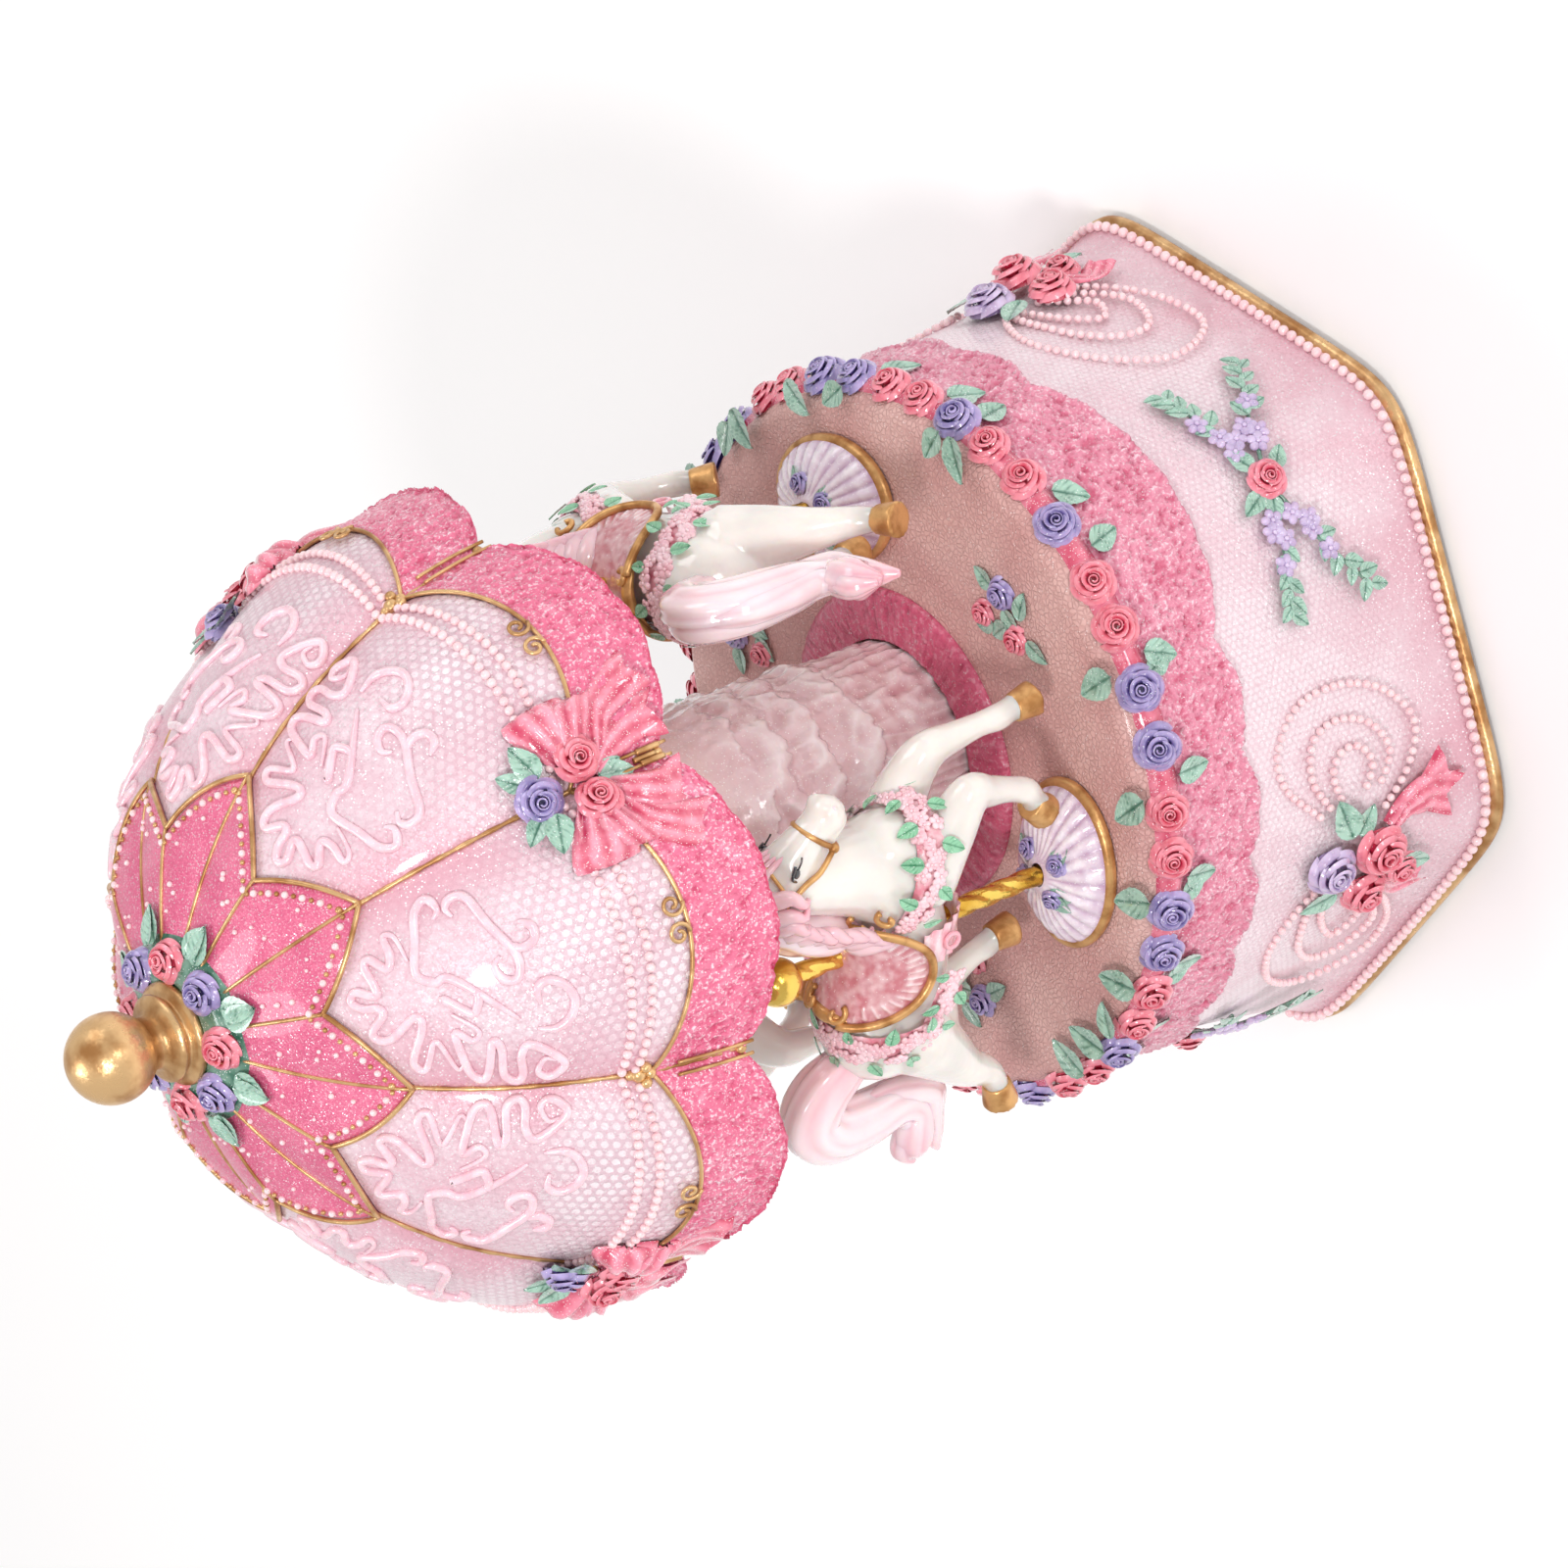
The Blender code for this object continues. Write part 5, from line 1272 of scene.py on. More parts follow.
def build_crown():
    """The wreath of roses on the star, and the gold ball on its turned collar."""
    form = Form()
    rng = random.Random(5)
    for i in range(8):
        az = CANOPY_TURN - 36 + PANEL * i
        turn = rng.uniform(0, 360)
        form.plant(ROSE, PURPLE if i % 2 else CORAL, on_canopy, az, 0.14, 1.5, turn, 3.9 - 0.3 * rng.random())
        form.plant(LEAF, GREEN, on_canopy, az + 17, 0.165, 1.3, -75, 6.4)
        form.plant(LEAF, GREEN, on_canopy, az + 27, 0.165, 1.4, -108, 6.2)
    form.sheet(((0.09, 0.9), (0.11, 2.0), (0.15, 1.9), (0.18, 0.8)), range(0, 360, 4),
               lambda level, az: (on_canopy(az, *level), 0.25), GREEN)
    form.build("crown_roses", FLOWER_PAINTS, "coral_rose", "crown_wreath")

    form = Form()
    profile = [(0, 202.4), (2.2, 202.4)] + [(radius, FINIAL_FOOT + up) for radius, up in FINIAL_COLLAR]
    for i in range(21):
        turn = math.radians(-52 + 142 * i / 20)
        radius = FINIAL_RADIUS * math.cos(turn) if i < 20 else 0
        profile.append((radius, TOP_Z - FINIAL_RADIUS + FINIAL_RADIUS * math.sin(turn)))
    form.lathe(profile, 72)
    form.build("finial_ball", ("gold",), "antique_gold", "finial")


# ---------------------------------------------------------------- poles and shells


# share of the oval, lift, depth of the flutes and tone, which paints shade and highlight
SHELL_PROFILE = (
    (0.985, 0.3, 0, 0.2), (1.0, 0.8, 0, 0.6), (0.99, 1.5, 0, 1.0), (0.95, 1.9, 0, 0.7), (0.91, 1.9, 0.15, 0.2),
    (0.86, 2.5, 0.75, 0.6), (0.76, 3.6, 0.85, 0.7), (0.64, 4.7, 0.8, 0.75), (0.5, 5.6, 0.6, 0.8),
    (0.36, 6.2, 0.4, 0.8), (0.26, 6.6, 0.1, 0.7), (0.2, 7.1, 0, 0.6), (0.14, 7.2, 0, 0.5),
)
TWIST = 0.42
BALL_RADIUS = 3.9


def build_pole(n, spot):
    low, high = span("pole_%d" % n)
    form = Form()
    rows = [[Vector((spot.x, spot.y, low.z))]]
    for i in range(191):
        z = low.z + (high.z - low.z) * i / 190
        row = []
        for k in range(30):
            turn = 2 * math.pi * k / 30
            strand = abs(math.sin(1.5 * (turn - (z - low.z) * TWIST)))
            radius = 1.28 + 0.42 * strand ** 0.7
            row.append(Vector((spot.x + radius * math.cos(turn), spot.y + radius * math.sin(turn), z)))
        rows.append(row)
    rows.append([Vector((spot.x, spot.y, high.z))])
    form.skin(rows)
    form.build("twisted_pole_%d" % n, ("bright",), "bright_gold", "pole_%d" % n)

    form = Form()
    turns = [math.radians(-62 + 124 * i / 24) for i in range(25)]
    profile = [(BALL_RADIUS * math.cos(turn), BALL_Z + BALL_RADIUS * math.sin(turn)) for turn in turns]
    form.lathe(profile, 48, (spot.x, spot.y, 0), loop=True)
    form.build("gold_ball_%d" % n, ("bright",), "bright_gold", "pole_ball_%d" % n)


def build_shell(n, spot, az):
    """A fluted oval foot with a gold rim, and the flowers round the pole on it."""
    oval = Matrix.Rotation(math.radians(az), 3, "Z")

    def shell(level, degrees):
        reach, lift, flute, tone = level
        turn = math.radians(degrees)
        wave = abs(math.sin(13 * turn)) ** 0.8
        point = Vector((15.0 * reach * math.cos(turn), 11.2 * reach * math.sin(turn), 0))
        point = oval @ point * (1 + flute * 0.035 * wave)
        rise = Vector((0, 0, FLOOR_Z + lift + flute * 0.5 * (wave - 0.5)))
        # tone paints shade in the flute grooves and beside the rim, highlight on the flute crests
        return spot.xy.to_3d() + point + rise, clamp(tone * (0.25 + 0.9 * wave) if flute else tone)

    form = Form()
    form.sheet(SHELL_PROFILE[:5], around(216), shell, 1)
    form.sheet(SHELL_PROFILE[4:], around(216), shell, 0)
    form.build("shell_foot_%d" % n, ("shell", "copper"), "shell_pearl", "shell_base_%d" % n)

    form = Form()
    rng = random.Random(79 + n)
    ground = spot.xy.to_3d() + Vector((0, 0, FLOOR_Z))
    for i in range(4):
        turn = 70 + 90 * i + rng.uniform(-12, 12)
        across = Vector((math.cos(math.radians(turn)), math.sin(math.radians(turn)), 0))
        place = moved(ground + across * 4.4 + Vector((0, 0, 6.1)))
        place = place @ turned(24, across.cross(Vector((0, 0, -1))))
        form.stamp(ROSE, place @ Matrix.Scale(2.0, 4), PURPLE)
        for lean in (25, 62):
            place = moved(ground + across * 3.6 + Vector((0, 0, 6.4)))
            place = place @ turned(turn + lean, "Z") @ turned(18, "Y")
            form.stamp(LEAF, place @ Matrix.Scale(4.6, 4), GREEN)
    form.build("pole_flowers_%d" % n, FLOWER_PAINTS, "coral_rose")


# ---------------------------------------------------------------- horses


TACK_PAINTS = ("mane", "saddle", "copper", "blossom", "sprig", "eye")
MANE, SADDLE, BRASS, BLOOM, SPRIG, EYE = range(6)


def limb(shape, points, steps=5):
    """A smooth tapering limb through (x, y, z, radius) points."""
    count = steps * (len(points) - 1) + 1
    rods = [along(points, i / (count - 1)) for i in range(count)]
    for x, y, z, radius in rods:
        bmesh.ops.create_icosphere(shape, subdivisions=2, radius=radius, matrix=moved((x, y, z)))
    for a, b in zip(rods, rods[1:]):
        start, end = Vector(a[:3]), Vector(b[:3])
        if (end - start).length < 0.05:
            continue
        place = moved((start + end) / 2) @ aimed(end - start)
        bmesh.ops.create_cone(shape, cap_ends=True, segments=16, radius1=a[3], radius2=b[3],
                              depth=(end - start).length, matrix=place)


def egg(shape, centre, radii, tilt=0.0):
    place = moved(centre) @ turned(tilt, "Y") @ Matrix.Diagonal((*radii, 1.0))
    bmesh.ops.create_icosphere(shape, subdivisions=3, radius=1.0, matrix=place)


def skinned(name, fill, voxel, rounds):
    """The smooth outer skin of overlapping shapes, as points and faces in millimetres."""
    shape = bmesh.new()
    fill(shape)
    mesh = bpy.data.meshes.new(name)
    shape.to_mesh(mesh)
    shape.free()
    model = bpy.data.objects.new(name, mesh)
    bpy.context.scene.collection.objects.link(model)
    voxels = model.modifiers.new("skin", "REMESH")
    voxels.mode = "VOXEL"
    voxels.voxel_size = voxel
    smooth = model.modifiers.new("ease", "SMOOTH")
    smooth.factor = 0.5
    smooth.iterations = rounds
    graph = bpy.context.evaluated_depsgraph_get()
    made = bpy.data.meshes.new_from_object(model.evaluated_get(graph))
    bpy.data.objects.remove(model)
    form = Form()
    for vert in made.vertices:
        form.point(vert.co)
    for polygon in made.polygons:
        form.face(polygon.vertices)
    bpy.data.meshes.remove(made)
    return form


BODY_EGGS = (
    ((-2, 0, 105.3), (17.0, 8.8, 10.0), -5), ((-15.5, 0, 106.0), (9.6, 8.8, 10.4), 0),
    ((-15.5, -4.2, 103.0), (7.6, 4.6, 9.0), 10), ((-15.5, 4.2, 103.0), (7.6, 4.6, 9.0), 10),
    ((14.5, 0, 107.2), (9.0, 8.4, 10.2), 0),
    ((13.5, -4.0, 104.5), (6.0, 4.6, 8.2), 20), ((13.5, 4.0, 104.5), (6.0, 4.6, 8.2), 20),
)
NECK = ((12, 0, 108, 8.4), (15.0, 0, 113, 7.4), (16.4, 0, 119.5, 6.0), (17.6, 0, 127.0, 4.9))
FACE = ((21.2, 0, 127.2, 4.4), (24.2, 0, 124.2, 3.5), (26.4, 0, 121.8, 3.0), (28.2, 0, 120.0, 3.3))
JAW = ((21.6, 0, 123.4, 3.4), (24.6, 0, 121.0, 2.7), (27.2, 0, 118.8, 2.6))
LEGS = (
    ((13.0, -4.6, 103.0, 5.4), (19.8, -5.0, 99.0, 4.2), (25.4, -5.0, 95.4, 3.3), (24.6, -5.0, 91.6, 2.6),
     (23.4, -5.0, 87.4, 2.1), (21.8, -5.0, 83.8, 2.2), (19.6, -5.0, 82.0, 2.0), (18.4, -5.0, 81.2, 2.3)),
    ((17.0, 4.6, 103.0, 5.4), (23.4, 5.0, 100.0, 4.2), (28.0, 5.0, 96.2, 3.3), (28.8, 5.0, 91.0, 2.5),
     (29.2, 5.0, 85.6, 2.0), (29.2, 5.0, 81.6, 2.2), (29.8, 5.0, 79.4, 2.0), (30.0, 5.0, 77.4, 2.5)),
    ((-17.0, -4.4, 102.5, 6.8), (-21.6, -5.0, 97.6, 5.2), (-26.4, -5.2, 92.6, 3.6), (-29.4, -5.2, 87.8, 2.6),
     (-31.6, -5.2, 85.8, 2.2), (-33.2, -5.2, 85.0, 2.0), (-34.6, -5.2, 84.4, 2.4)),
    ((-15.0, 4.4, 102.0, 6.4), (-17.8, 5.0, 96.0, 4.8), (-19.2, 5.2, 91.4, 3.4), (-17.4, 5.2, 87.4, 2.4),
     (-15.2, 5.2, 83.0, 2.0), (-14.4, 5.2, 80.4, 2.2), (-13.6, 5.2, 78.8, 2.0), (-13.2, 5.2, 77.6, 2.5)),
)
# each hoof's place, and where it points in x and z
HOOVES = (
    ((17.6, -5.0, 81.0), (-0.62, -0.78)), ((30.0, 5.0, 76.6), (0.12, -1.0)),
    ((-35.0, -5.2, 84.4), (-0.94, -0.3)), ((-13.2, 5.2, 77.0), (0.1, -1.0)),
)


def fill_horse(shape):
    """Faces +X with its right side at -Y, the pole through the origin."""
    for centre, radii, tilt in BODY_EGGS:
        egg(shape, centre, radii, tilt)
    limb(shape, NECK)
    egg(shape, (19.2, 0, 128.4), (5.4, 4.3, 4.8), 30)
    egg(shape, (20.6, 0, 124.6), (4.4, 4.0, 4.2))
    limb(shape, FACE)
    limb(shape, JAW)
    for side in (-1, 1):
        ear = [(16.4, side * 2.4, 131.6, 1.5), (16.2, side * 2.8, 134.2, 1.35), (15.8, side * 3.0, 137.0, 0.5)]
        limb(shape, ear, 3)
        egg(shape, (29.6, side * 2.0, 120.6), (1.5, 1.2, 1.3))
        egg(shape, (21.6, side * 3.3, 128.8), (2.0, 1.0, 1.4), 30)
    for leg in LEGS:
        limb(shape, leg)


def fill_hooves(shape):
    for spot, (dx, dz) in HOOVES:
        ahead = Vector((dx, 0, dz)).normalized()
        place = moved(Vector(spot) - ahead * 0.1) @ aimed(ahead)
        bmesh.ops.create_cone(shape, cap_ends=True, segments=24, radius1=2.35, radius2=3.0, depth=4.4,
                              matrix=place)


def wisp(form, path, grooves, flat, seed):
    """A thick grooved lock of hair along (x, z, half width) points, paler in the middle of its length."""
    rows = []
    tones = []
    steps = 70
    count = 44
    for i in range(steps + 1):
        part = i / steps
        x, z, half = along(path, part)
        before = along(path, max(part - 0.015, 0.0))
        after = along(path, min(part + 0.015, 1.0))
        flow = Vector((after[0] - before[0], 0, after[1] - before[1])).normalized()
        side = Vector((-flow.z, 0, flow.x))
        pale = 0.28 + 0.62 * math.sin(math.pi * clamp(part * 1.06)) ** 0.8
        if i in (0, steps):
            rows.append([Vector((x, 0, z))])
            tones.append([pale])
            continue
        row = []
        tone = []
        for k in range(count):
            turn = 2 * math.pi * k / count
            waver = noise.noise(Vector((math.cos(turn) * 1.1, math.sin(turn) * 1.1, part * 3 + seed)))
            ripple = math.sin((grooves * turn + 2.6 * part) / 2 + 1.6 * waver + seed)
            groove = 1 - 2 * abs(ripple) ** 0.7
            reach = half * (1 - 0.06 * groove + 0.12 * waver)
            thick = Vector((0, reach * flat * math.sin(turn), 0))
            row.append(Vector((x, 0, z)) + side * (reach * math.cos(turn)) + thick)
            # the grooves are painted darker, as shade
            tone.append(clamp(pale - 0.2 * groove + 0.08 * waver))
        rows.append(row)
        tones.append(tone)
    form.skin(rows, MANE, tones=tones)


def lock(form, points, radius, seed):
    """One small lock, pink at its tip."""
    radii = []
    tones = []
    for i in range(15):
        taper = 1 if i < 12 else 0.75 - 0.2 * (i - 12)
        radii.append(radius * (0.55 + 0.45 * math.sin(math.pi * min(1.0, 0.25 + i / 13))) * taper)
        tones.append(clamp(1.0 - 0.055 * i + 0.05 * math.sin(seed + i)))
    form.tube(curve(points, 15), radii, MANE, tone=tones, flat=0.8)


CREST = ((18.6, 132.8), (13.8, 132.0), (10.4, 128.0), (8.6, 122.6), (6.6, 118.2), (4.6, 115.4))
# wisps: (x, z, half width) points, then the number of grooves, thickness and seed
HAIR = (
    (((18.6, 132.6, 1.4), (13.4, 130.8, 3.6), (9.8, 126.0, 4.3), (7.8, 120.6, 4.4), (5.8, 116.2, 3.8),
      (3.2, 113.0, 1.2)), 7, 1.1, 2),
    (((-17.6, 108.4, 2.4), (-21.6, 112.2, 3.7), (-25.2, 116.8, 4.7), (-29.8, 118.8, 5.0), (-33.6, 114.6, 5.0),
      (-34.0, 107.6, 4.6), (-33.4, 101.4, 3.8), (-35.6, 97.4, 3.0), (-39.0, 97.0, 3.5), (-42.6, 97.0, 3.2),
      (-45.4, 94.8, 0.8)), 9, 0.9, 0),
    (((-26.0, 119.0, 1.0), (-31.4, 120.4, 2.2), (-36.4, 115.6, 2.6), (-37.0, 108.0, 2.5), (-35.8, 101.0, 2.3),
      (-38.6, 98.6, 2.0), (-43.4, 99.2, 1.8), (-46.6, 96.6, 0.5)), 5, 0.95, 3),
    (((-30.0, 108.0, 0.8), (-30.8, 101.0, 2.2), (-32.8, 95.2, 2.6), (-37.6, 94.2, 2.3), (-42.4, 93.4, 1.8),
      (-46.0, 91.8, 0.5)), 5, 1.1, 5),
)


def add_hair(form):
    """Wisps down the neck and for the tail, locks falling from the crest on both sides, and a forelock."""
    for path, grooves, flat, seed in HAIR:
        wisp(form, path, grooves, flat, seed)
    rng = random.Random(6)
    for side in (-1, 1):
        for i in range(10):
            part = i / 9.6
            x, z = along(CREST, part)
            drop = 5.4 + 3.0 * part + rng.uniform(-0.8, 0.8)
            sway = rng.uniform(-0.8, 0.8)
            wide = 5.2 + 1.4 * part
            points = [(x, 0.6, z - 0.4), (x - 0.6 + sway, wide * 0.62, z - 0.9),
                      (x + 0.4 + sway, wide, z - 0.45 * drop), (x - 0.7, wide + 0.7, z - 0.78 * drop),
                      (x + 0.3 - sway, wide + 0.2, z - drop)]
            lock(form, [(x, side * y, z) for x, y, z in points], 1.9, i)
    for k, lean in enumerate((-1.4, -0.5, 0.5, 1.4)):
        points = [(17.6, lean * 0.4, 132.8), (20.6, lean * 0.9, 133.6), (23.2, lean * 1.2, 131.6),
                  (24.6, lean, 128.8 - 0.3 * k)]
        lock(form, points, 0.95, k)


SADDLE_HALF = 8.9
# along x, degrees down from the top, hand of the coil and reach
SADDLE_CURLS = ((-8.4, 16, 1, 1.7), (8.6, 30, -1, 1.9), (10.6, 52, -1, 1.5))


def saddle_point(x, down, out):
    """A point on the back: down is degrees from the top, negative on the right side."""
    turn = math.radians(down)
    height = 10.6 + out + 0.022 * x ** 2
    return Vector((x, (9.1 + out) * math.sin(turn), 104.6 + height * math.cos(turn) - 0.02 * x))


def add_saddle(form):
    """The fluted saddle cloth, its gold rim with curls, and the raised gold cantle."""

    def cloth(down, v):
        deep = clamp((abs(down) - 20) / 70)
        x = v * (SADDLE_HALF * math.sqrt(max(0.0, 1 - deep ** 2)) + 0.1)
        rho = math.hypot(deep, x / SADDLE_HALF)
        flute = 0.0
        if deep > 0.15:
            ray = math.atan2(deep, x / SADDLE_HALF)
            flute = ease((rho - 0.66) / 0.06) * ease((0.94 - rho) / 0.04) * max(0.0, math.cos(38 * ray)) ** 1.6
        rough = noise.noise(Vector((x, down * 0.18, 0)) * 0.9)
        spot = saddle_point(x - 1.0, down, 0.55 + 0.3 * flute + 0.12 * rough)
        # tone paints highlight on the raised flutes and shade between them
        return spot, clamp(0.3 + 0.6 * flute + 0.3 * rough)

    form.sheet(np.linspace(-91, 91, 141), np.linspace(-1, 1, 49), cloth, SADDLE, wrap=False)
    for side in (-1, 1):
        rim = []
        for i in range(71):
            turn = math.pi * (i / 70)
            rim.append(saddle_point(-1.0 - 9.0 * math.cos(turn), side * (20 + 70 * math.sin(turn)), 1.0))
        form.tube(rim, 0.72, BRASS)
        for x, deep, hand, reach in SADDLE_CURLS:
            curl = []
            for i in range(24):
                part = i / 23
                swing = hand * (0.4 + 5.2 * part)
                size = reach * (1 - 0.7 * part)
                down = side * (deep + 5.4 * size * math.sin(swing))
                curl.append(saddle_point(x + size * math.cos(swing), down, 1.1 + 0.4 * part))
            form.tube(curl, 0.5, BRASS)

    def cantle(part, k):
        across = math.sin(math.pi * part)
        turn = 2 * math.pi * k / 16
        spot = Vector((-9.6 + 1.2 * math.cos(turn) * across, -6.4 + 12.8 * part,
                       114.4 + 3.4 * across + math.sin(turn) * across))
        return spot, 0.8

    form.sheet([i / 12 for i in range(13)], range(16), cantle, BRASS)


def add_girth(form):
    """The ruffled girth band with a ring at each side."""

    def band(i, v):
        turn = math.radians(84 + 192 * i / 72)
        ruffle = 0.3 * math.sin(i * 1.15 + v * 2.0) * abs(v)
        width = (9.2 + ruffle) * math.sin(turn)
        spot = Vector((2.4 + v * 3.2, width, 105.0 + (10.9 + ruffle) * math.cos(turn)))
        return spot, clamp(0.75 + 0.25 * math.cos(i * 1.15) - 0.3 * abs(v) ** 6)

    form.sheet(range(73), np.linspace(-1, 1, 13), band, BLOOM, wrap=False)
    for side in (-1, 1):
        hoop = []
        for k in range(20):
            turn = 2 * math.pi * k / 20
            hoop.append(Vector((2.4 + 1.3 * math.cos(turn), side * 9.0, 100.2 + 1.3 * math.sin(turn))))
        form.tube(hoop, 0.42, MANE, 6, closed=True, tone=0.3)


def add_garland(form, rng, points, width, leaves, leaf_size):
    """Blossoms crowded on a crinkled band, with leaves along its edges. Points are (x, y, z, outward)."""
    spots = [(Vector(point[:3]), Vector(point[3:]).normalized()) for point in points]
    rows = []
    tones = []
    for i, (spot, outward) in enumerate(spots):
        flow = (spots[min(i + 1, len(spots) - 1)][0] - spots[max(i - 1, 0)][0]).normalized()
        side = outward.cross(flow).normalized()
        row = []
        tone = []
        for v in np.linspace(-1, 1, 9):
            bump = noise.noise(spot * 0.8 + Vector((0, 0, v * 3)))
            rise = outward * (0.5 * (1 - v * v) + 0.45 * bump - 0.2)
            row.append(spot + side * (v * width * (1 + 0.3 * bump)) + rise)
            # tone paints highlight on the lumps of the band and shade towards its edges
            tone.append(clamp(0.6 + bump - 0.2 * abs(v)))
        rows.append(row)
        tones.append(tone)
        for _ in range(2 if i % 2 == 0 else 0):
            shift = rng.uniform(-0.85, 0.85) * width
            place = moved(spot + side * shift + outward * 0.5) @ aimed(outward + side * (shift / width) * 0.5)
            place = place @ Matrix.Rotation(rng.uniform(0, 6), 4, "Z")
            form.stamp(BLOSSOM, place @ Matrix.Scale(rng.uniform(1.1, 1.6), 4), BLOOM)
        if i % leaves == leaves // 2:
            hand = 1 if (i // leaves) % 2 else -1
            aim = (side * hand + flow * rng.uniform(-0.8, 0.8)).normalized()
            place = moved(spot + side * (hand * width * 0.75) + outward * 0.75)
            place = place @ Matrix((aim, outward.cross(aim), outward)).transposed().to_4x4()
            form.stamp(LEAF, place @ Matrix.Scale(leaf_size * rng.uniform(0.85, 1.15), 4), SPRIG)
    form.skin(rows, BLOOM, wrap=False, tones=tones)


def add_garlands(form):
    """Round the chest, over the rump, and falling down the flanks, and a leaf at each ear."""
    rng = random.Random(9)
    chest = []
    rump = []
    for i in range(61):
        turn = math.radians(-122 + 244 * i / 60)
        across, ahead = math.sin(turn), math.cos(turn)
        chest.append((13.6 + 10.9 * ahead, 9.4 * across, 103.4 + 3.4 * (1 - ahead), ahead, across, 0.25))
        turn = math.radians(-100 + 200 * i / 60)
        across, ahead = math.sin(turn), math.cos(turn)
        rump.append((-13.6 - 1.6 * ahead, 9.5 * across, 105.4 + 10.6 * ahead, -0.25, across, ahead))
    add_garland(form, rng, chest, 2.2, 4, 3.4)
    add_garland(form, rng, rump, 2.8, 5, 3.2)
    for side in (-1, 1):
        fall = []
        for i in range(15):
            part = i / 14
            drop = 104.0 - 5.6 * part + 1.6 * part ** 2
            fall.append((-12.4 + 8.6 * part, side * (9.6 - 0.4 * part), drop, -0.1, side, 0.1))
        add_garland(form, rng, fall, 1.7, 4, 3.0)
        ear = moved((14.8, side * 5.2, 131.0)) @ Matrix.Rotation(side * -1.3, 4, "X")
        form.stamp(LEAF, ear @ Matrix.Rotation(-1.2, 4, "Z") @ Matrix.Scale(3.4, 4), SPRIG)


# straps and lids of the left side: points, number of steps, radius and paint
BRIDLE = (
    (((17.6, 4.6, 130.6), (20.2, 4.6, 127.0), (21.6, 4.5, 124.0), (24.4, 3.7, 121.0)), 16, 0.48, BRASS),
    (((19.0, 4.4, 130.0), (22.0, 3.0, 131.6), (23.4, 0, 131.8)), 12, 0.36, BRASS),
    (((21.2, 4.0, 128.4), (22.3, 4.4, 129.5), (24.0, 3.9, 128.6)), 10, 0.26, EYE),
    (((23.4, 4.1, 128.2), (24.4, 4.0, 127.6), (25.2, 3.8, 127.4)), 6, 0.16, EYE),
)


def add_face(form):
    """The bridle with its nose band, the eyes and the nostrils."""
    nose = []
    for i in range(24):
        turn = 2 * math.pi * i / 24
        nose.append(Vector((25.0 + 2.3 * math.cos(turn), 3.55 * math.sin(turn), 121.8 + 3.3 * math.cos(turn))))
    form.tube(nose, 0.5, BRASS, 6, closed=True)
    for side in (-1, 1):
        for points, count, radius, slot in BRIDLE:
            form.tube(curve([(x, side * y, z) for x, y, z in points], count), radius, slot, 6)
        form.stamp(BALL, moved((22.5, side * 3.85, 128.4)) @ Matrix.Diagonal((1.0, 0.5, 0.8, 1)), EYE)
        form.stamp(BALL, moved((30.5, side * 2.3, 120.4)) @ Matrix.Diagonal((0.55, 0.5, 0.35, 1)), MANE)
        form.ball((24.4, side * 3.7, 121.0), 0.85, BRASS)


def build_horses():
    """One horse in its own frame, placed at each pole."""
    body = skinned("horse_body", fill_horse, 0.5, 3)
    hooves = skinned("horse_hooves", fill_hooves, 0.4, 2)
    for i, spot in enumerate(body.points):
        shade = 0.9 + 0.2 * noise.noise(Vector(spot) * 0.2)
        near = min(math.dist(spot, hoof) for hoof, _ in HOOVES)
        body.tones[i] = clamp(min(shade, ease((near - 3.0) / 4.0) * 0.75 + 0.25))
    tack = Form()
    for add in (add_hair, add_saddle, add_girth, add_garlands, add_face):
        add(tack)
    for n, spot in enumerate(POLES):
        place = moved((spot.x * MM, spot.y * MM, 0)) @ turned(CORNERS[n] + HORSE_TURNS[n], "Z")
        node = "horse_%d" % (n + 1)
        body.build(node + "_body", ("horse",), "ivory_resin", node, place)
        hooves.build(node + "_hooves", ("copper",), "antique_gold", place=place)
        tack.build(node + "_tack", TACK_PAINTS, "satin_pink", place=place)


# ---------------------------------------------------------------- stage and camera


# name, place in metres, size and power
LAMPS = (
    ("key", (-0.55, -0.6, 0.95), 0.2, 5.0), ("fill", (0.9, -0.55, 0.6), 0.6, 2.0),
    ("top", (0.1, 0.35, 1.1), 0.4, 2.9), ("front", (-0.35, -1.15, 0.34), 0.3, 2.3),
)
AIM = Vector((0, 0, 0.11))
FLOOR_REACH = 3.0


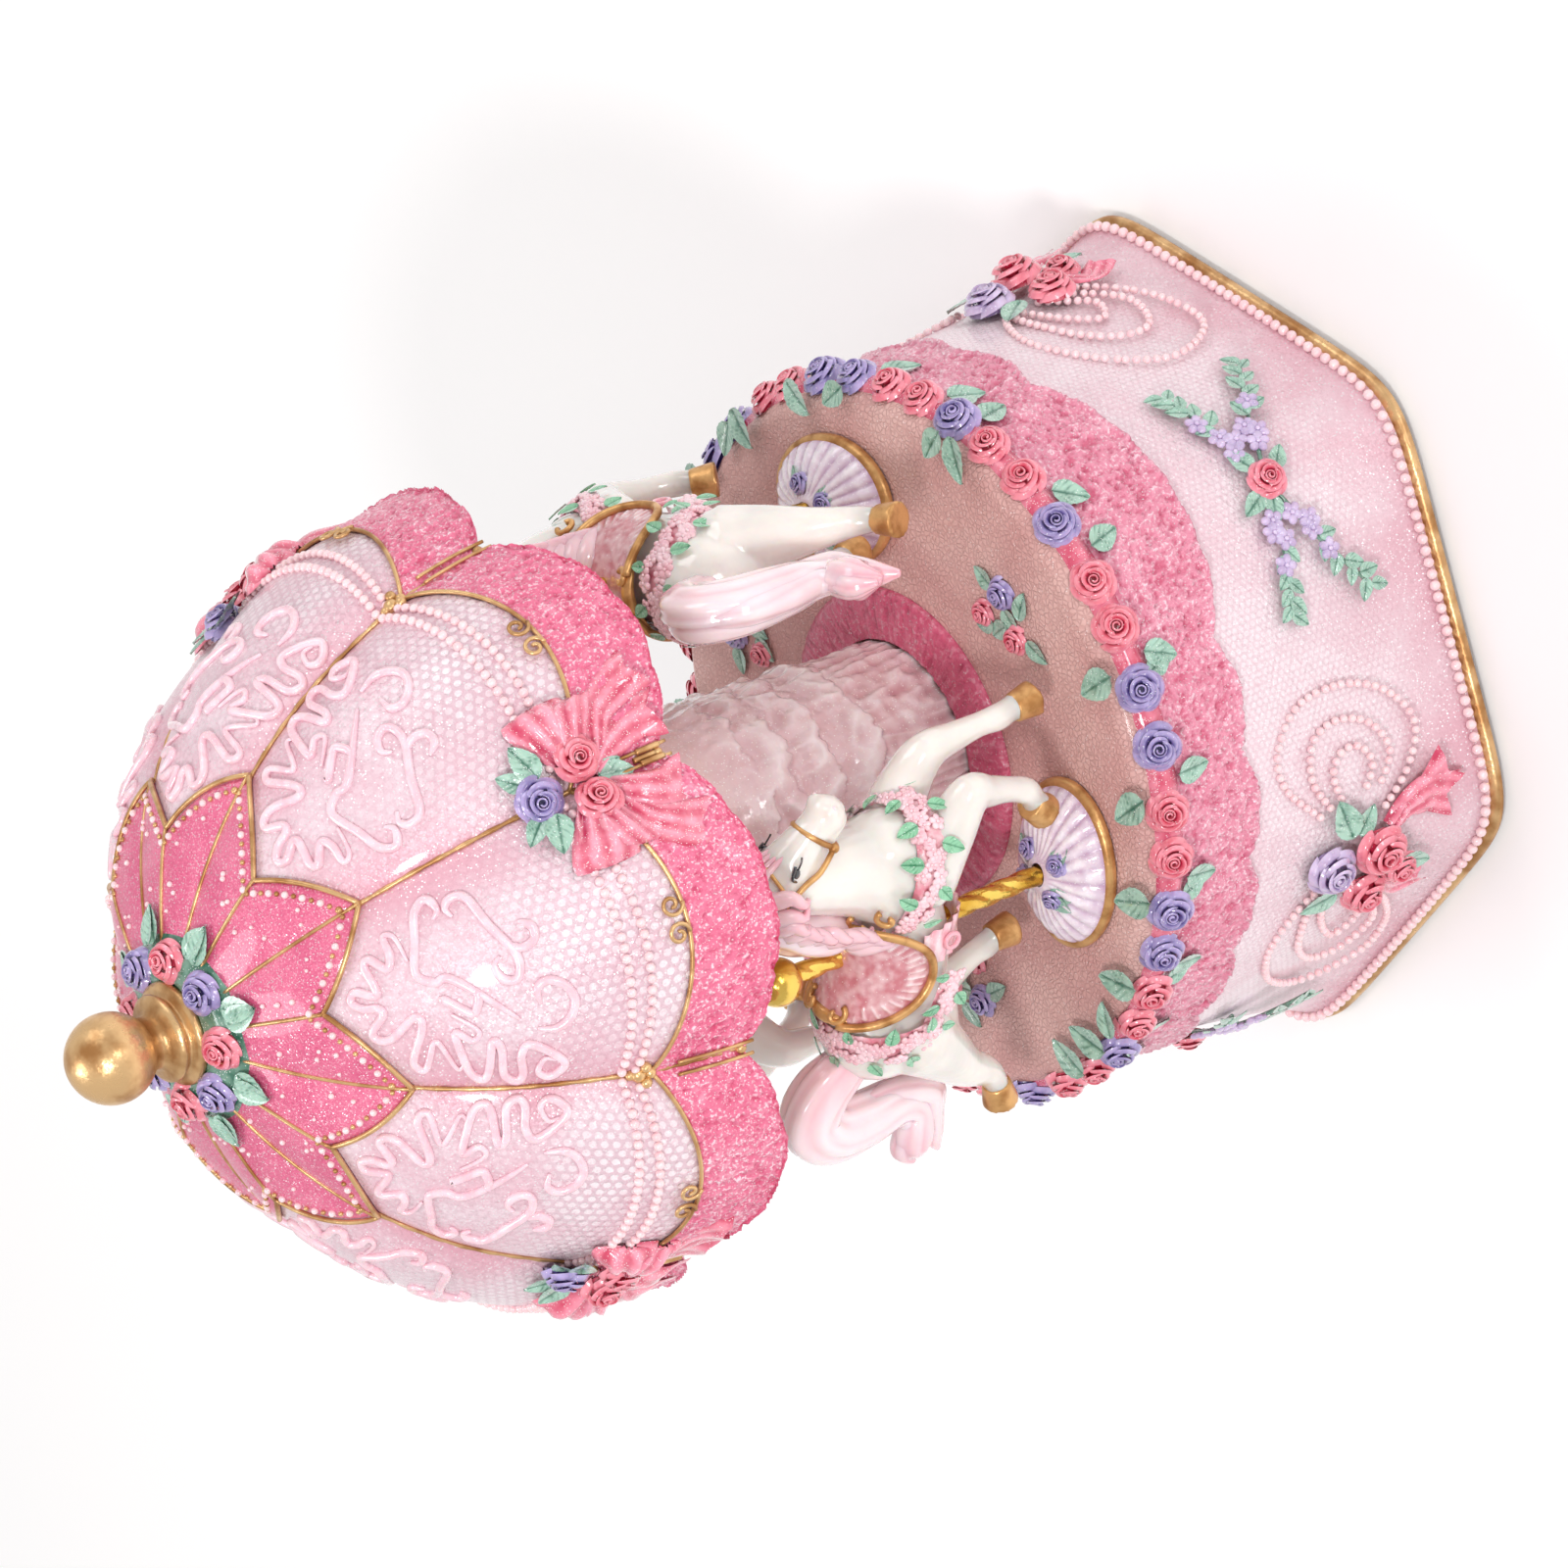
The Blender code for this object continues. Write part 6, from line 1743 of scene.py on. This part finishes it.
def build_stage():
    corners = [(x * FLOOR_REACH, y * FLOOR_REACH, 0) for x, y in ((-1, -1), (1, -1), (1, 1), (-1, 1))]
    floor = bpy.data.meshes.new("studio_floor")
    floor.from_pydata(corners, [], [(0, 1, 2, 3)])
    paper = Paint("studio_paper", 0.9)
    floor.materials.append(paper.done(paper.mix(paper.noise(3.0), "fcfbfb", "fefdfd")))
    ground = bpy.data.objects.new("studio_floor", floor)
    bpy.context.scene.collection.objects.link(ground)

    world = bpy.data.worlds.new("studio")
    bpy.context.scene.world = world
    world.use_nodes = True
    sky = world.node_tree.nodes["Background"]
    sky.inputs["Color"].default_value = (1.0, 0.99, 0.985, 1)
    sky.inputs["Strength"].default_value = 0.66

    for name, spot, size, power in LAMPS:
        light = bpy.data.lights.new(name, "AREA")
        light.shape = "DISK"
        light.size = size
        light.energy = power
        lamp = bpy.data.objects.new(name, light)
        lamp.location = spot
        lamp.rotation_euler = (AIM - Vector(spot)).to_track_quat("-Z", "Y").to_euler()
        bpy.context.scene.collection.objects.link(lamp)
    bpy.context.scene.view_settings.view_transform = "Standard"


CAMERA_ELEVATION = 0.5758
CAMERA_AZIMUTH = -0.3343
CAMERA_ROLL = math.radians(114.9) - 0.0575
CAMERA_LENS = 182.86
# metres to the camera from the aim: back, right and down
CAMERA_BACK = 1.256608
CAMERA_RIGHT = 0.0010891
CAMERA_DOWN = 0.01441


def build_camera():
    """The photographer's place, fitted to the object's proportions, with the camera rolled as it was held."""
    level = math.cos(CAMERA_ELEVATION)
    across, ahead = math.sin(CAMERA_AZIMUTH), math.cos(CAMERA_AZIMUTH)
    back = Vector((across * level, -ahead * level, math.sin(CAMERA_ELEVATION)))
    right = Vector((ahead, across, 0))
    up = back.cross(right)
    camera = bpy.data.cameras.new("camera")
    camera.sensor_width = 36.0
    camera.lens = CAMERA_LENS
    camera.clip_start = 0.05
    camera.clip_end = 20.0
    holder = bpy.data.objects.new("camera", camera)
    bpy.context.scene.collection.objects.link(holder)
    spot = back * CAMERA_BACK + right * CAMERA_RIGHT - up * CAMERA_DOWN + AIM
    lie = Matrix((right, up, back)).transposed() @ Matrix.Rotation(-CAMERA_ROLL, 3, "Z")
    holder.matrix_world = moved(spot) @ lie.to_4x4()
    bpy.context.scene.camera = holder


build_camera()
paint_frame()
build_base()
build_skirt()
build_garland()
build_bouquets()
build_sprays()
build_floor_ornaments()
build_column()
build_canopy()
build_valance()
build_scrolls()
build_star()
build_trim()
build_bows()
build_crown()
for n, spot in enumerate(POLES):
    build_pole(n + 1, spot)
    build_shell(n + 1, spot, CORNERS[n])
build_horses()
build_stage()
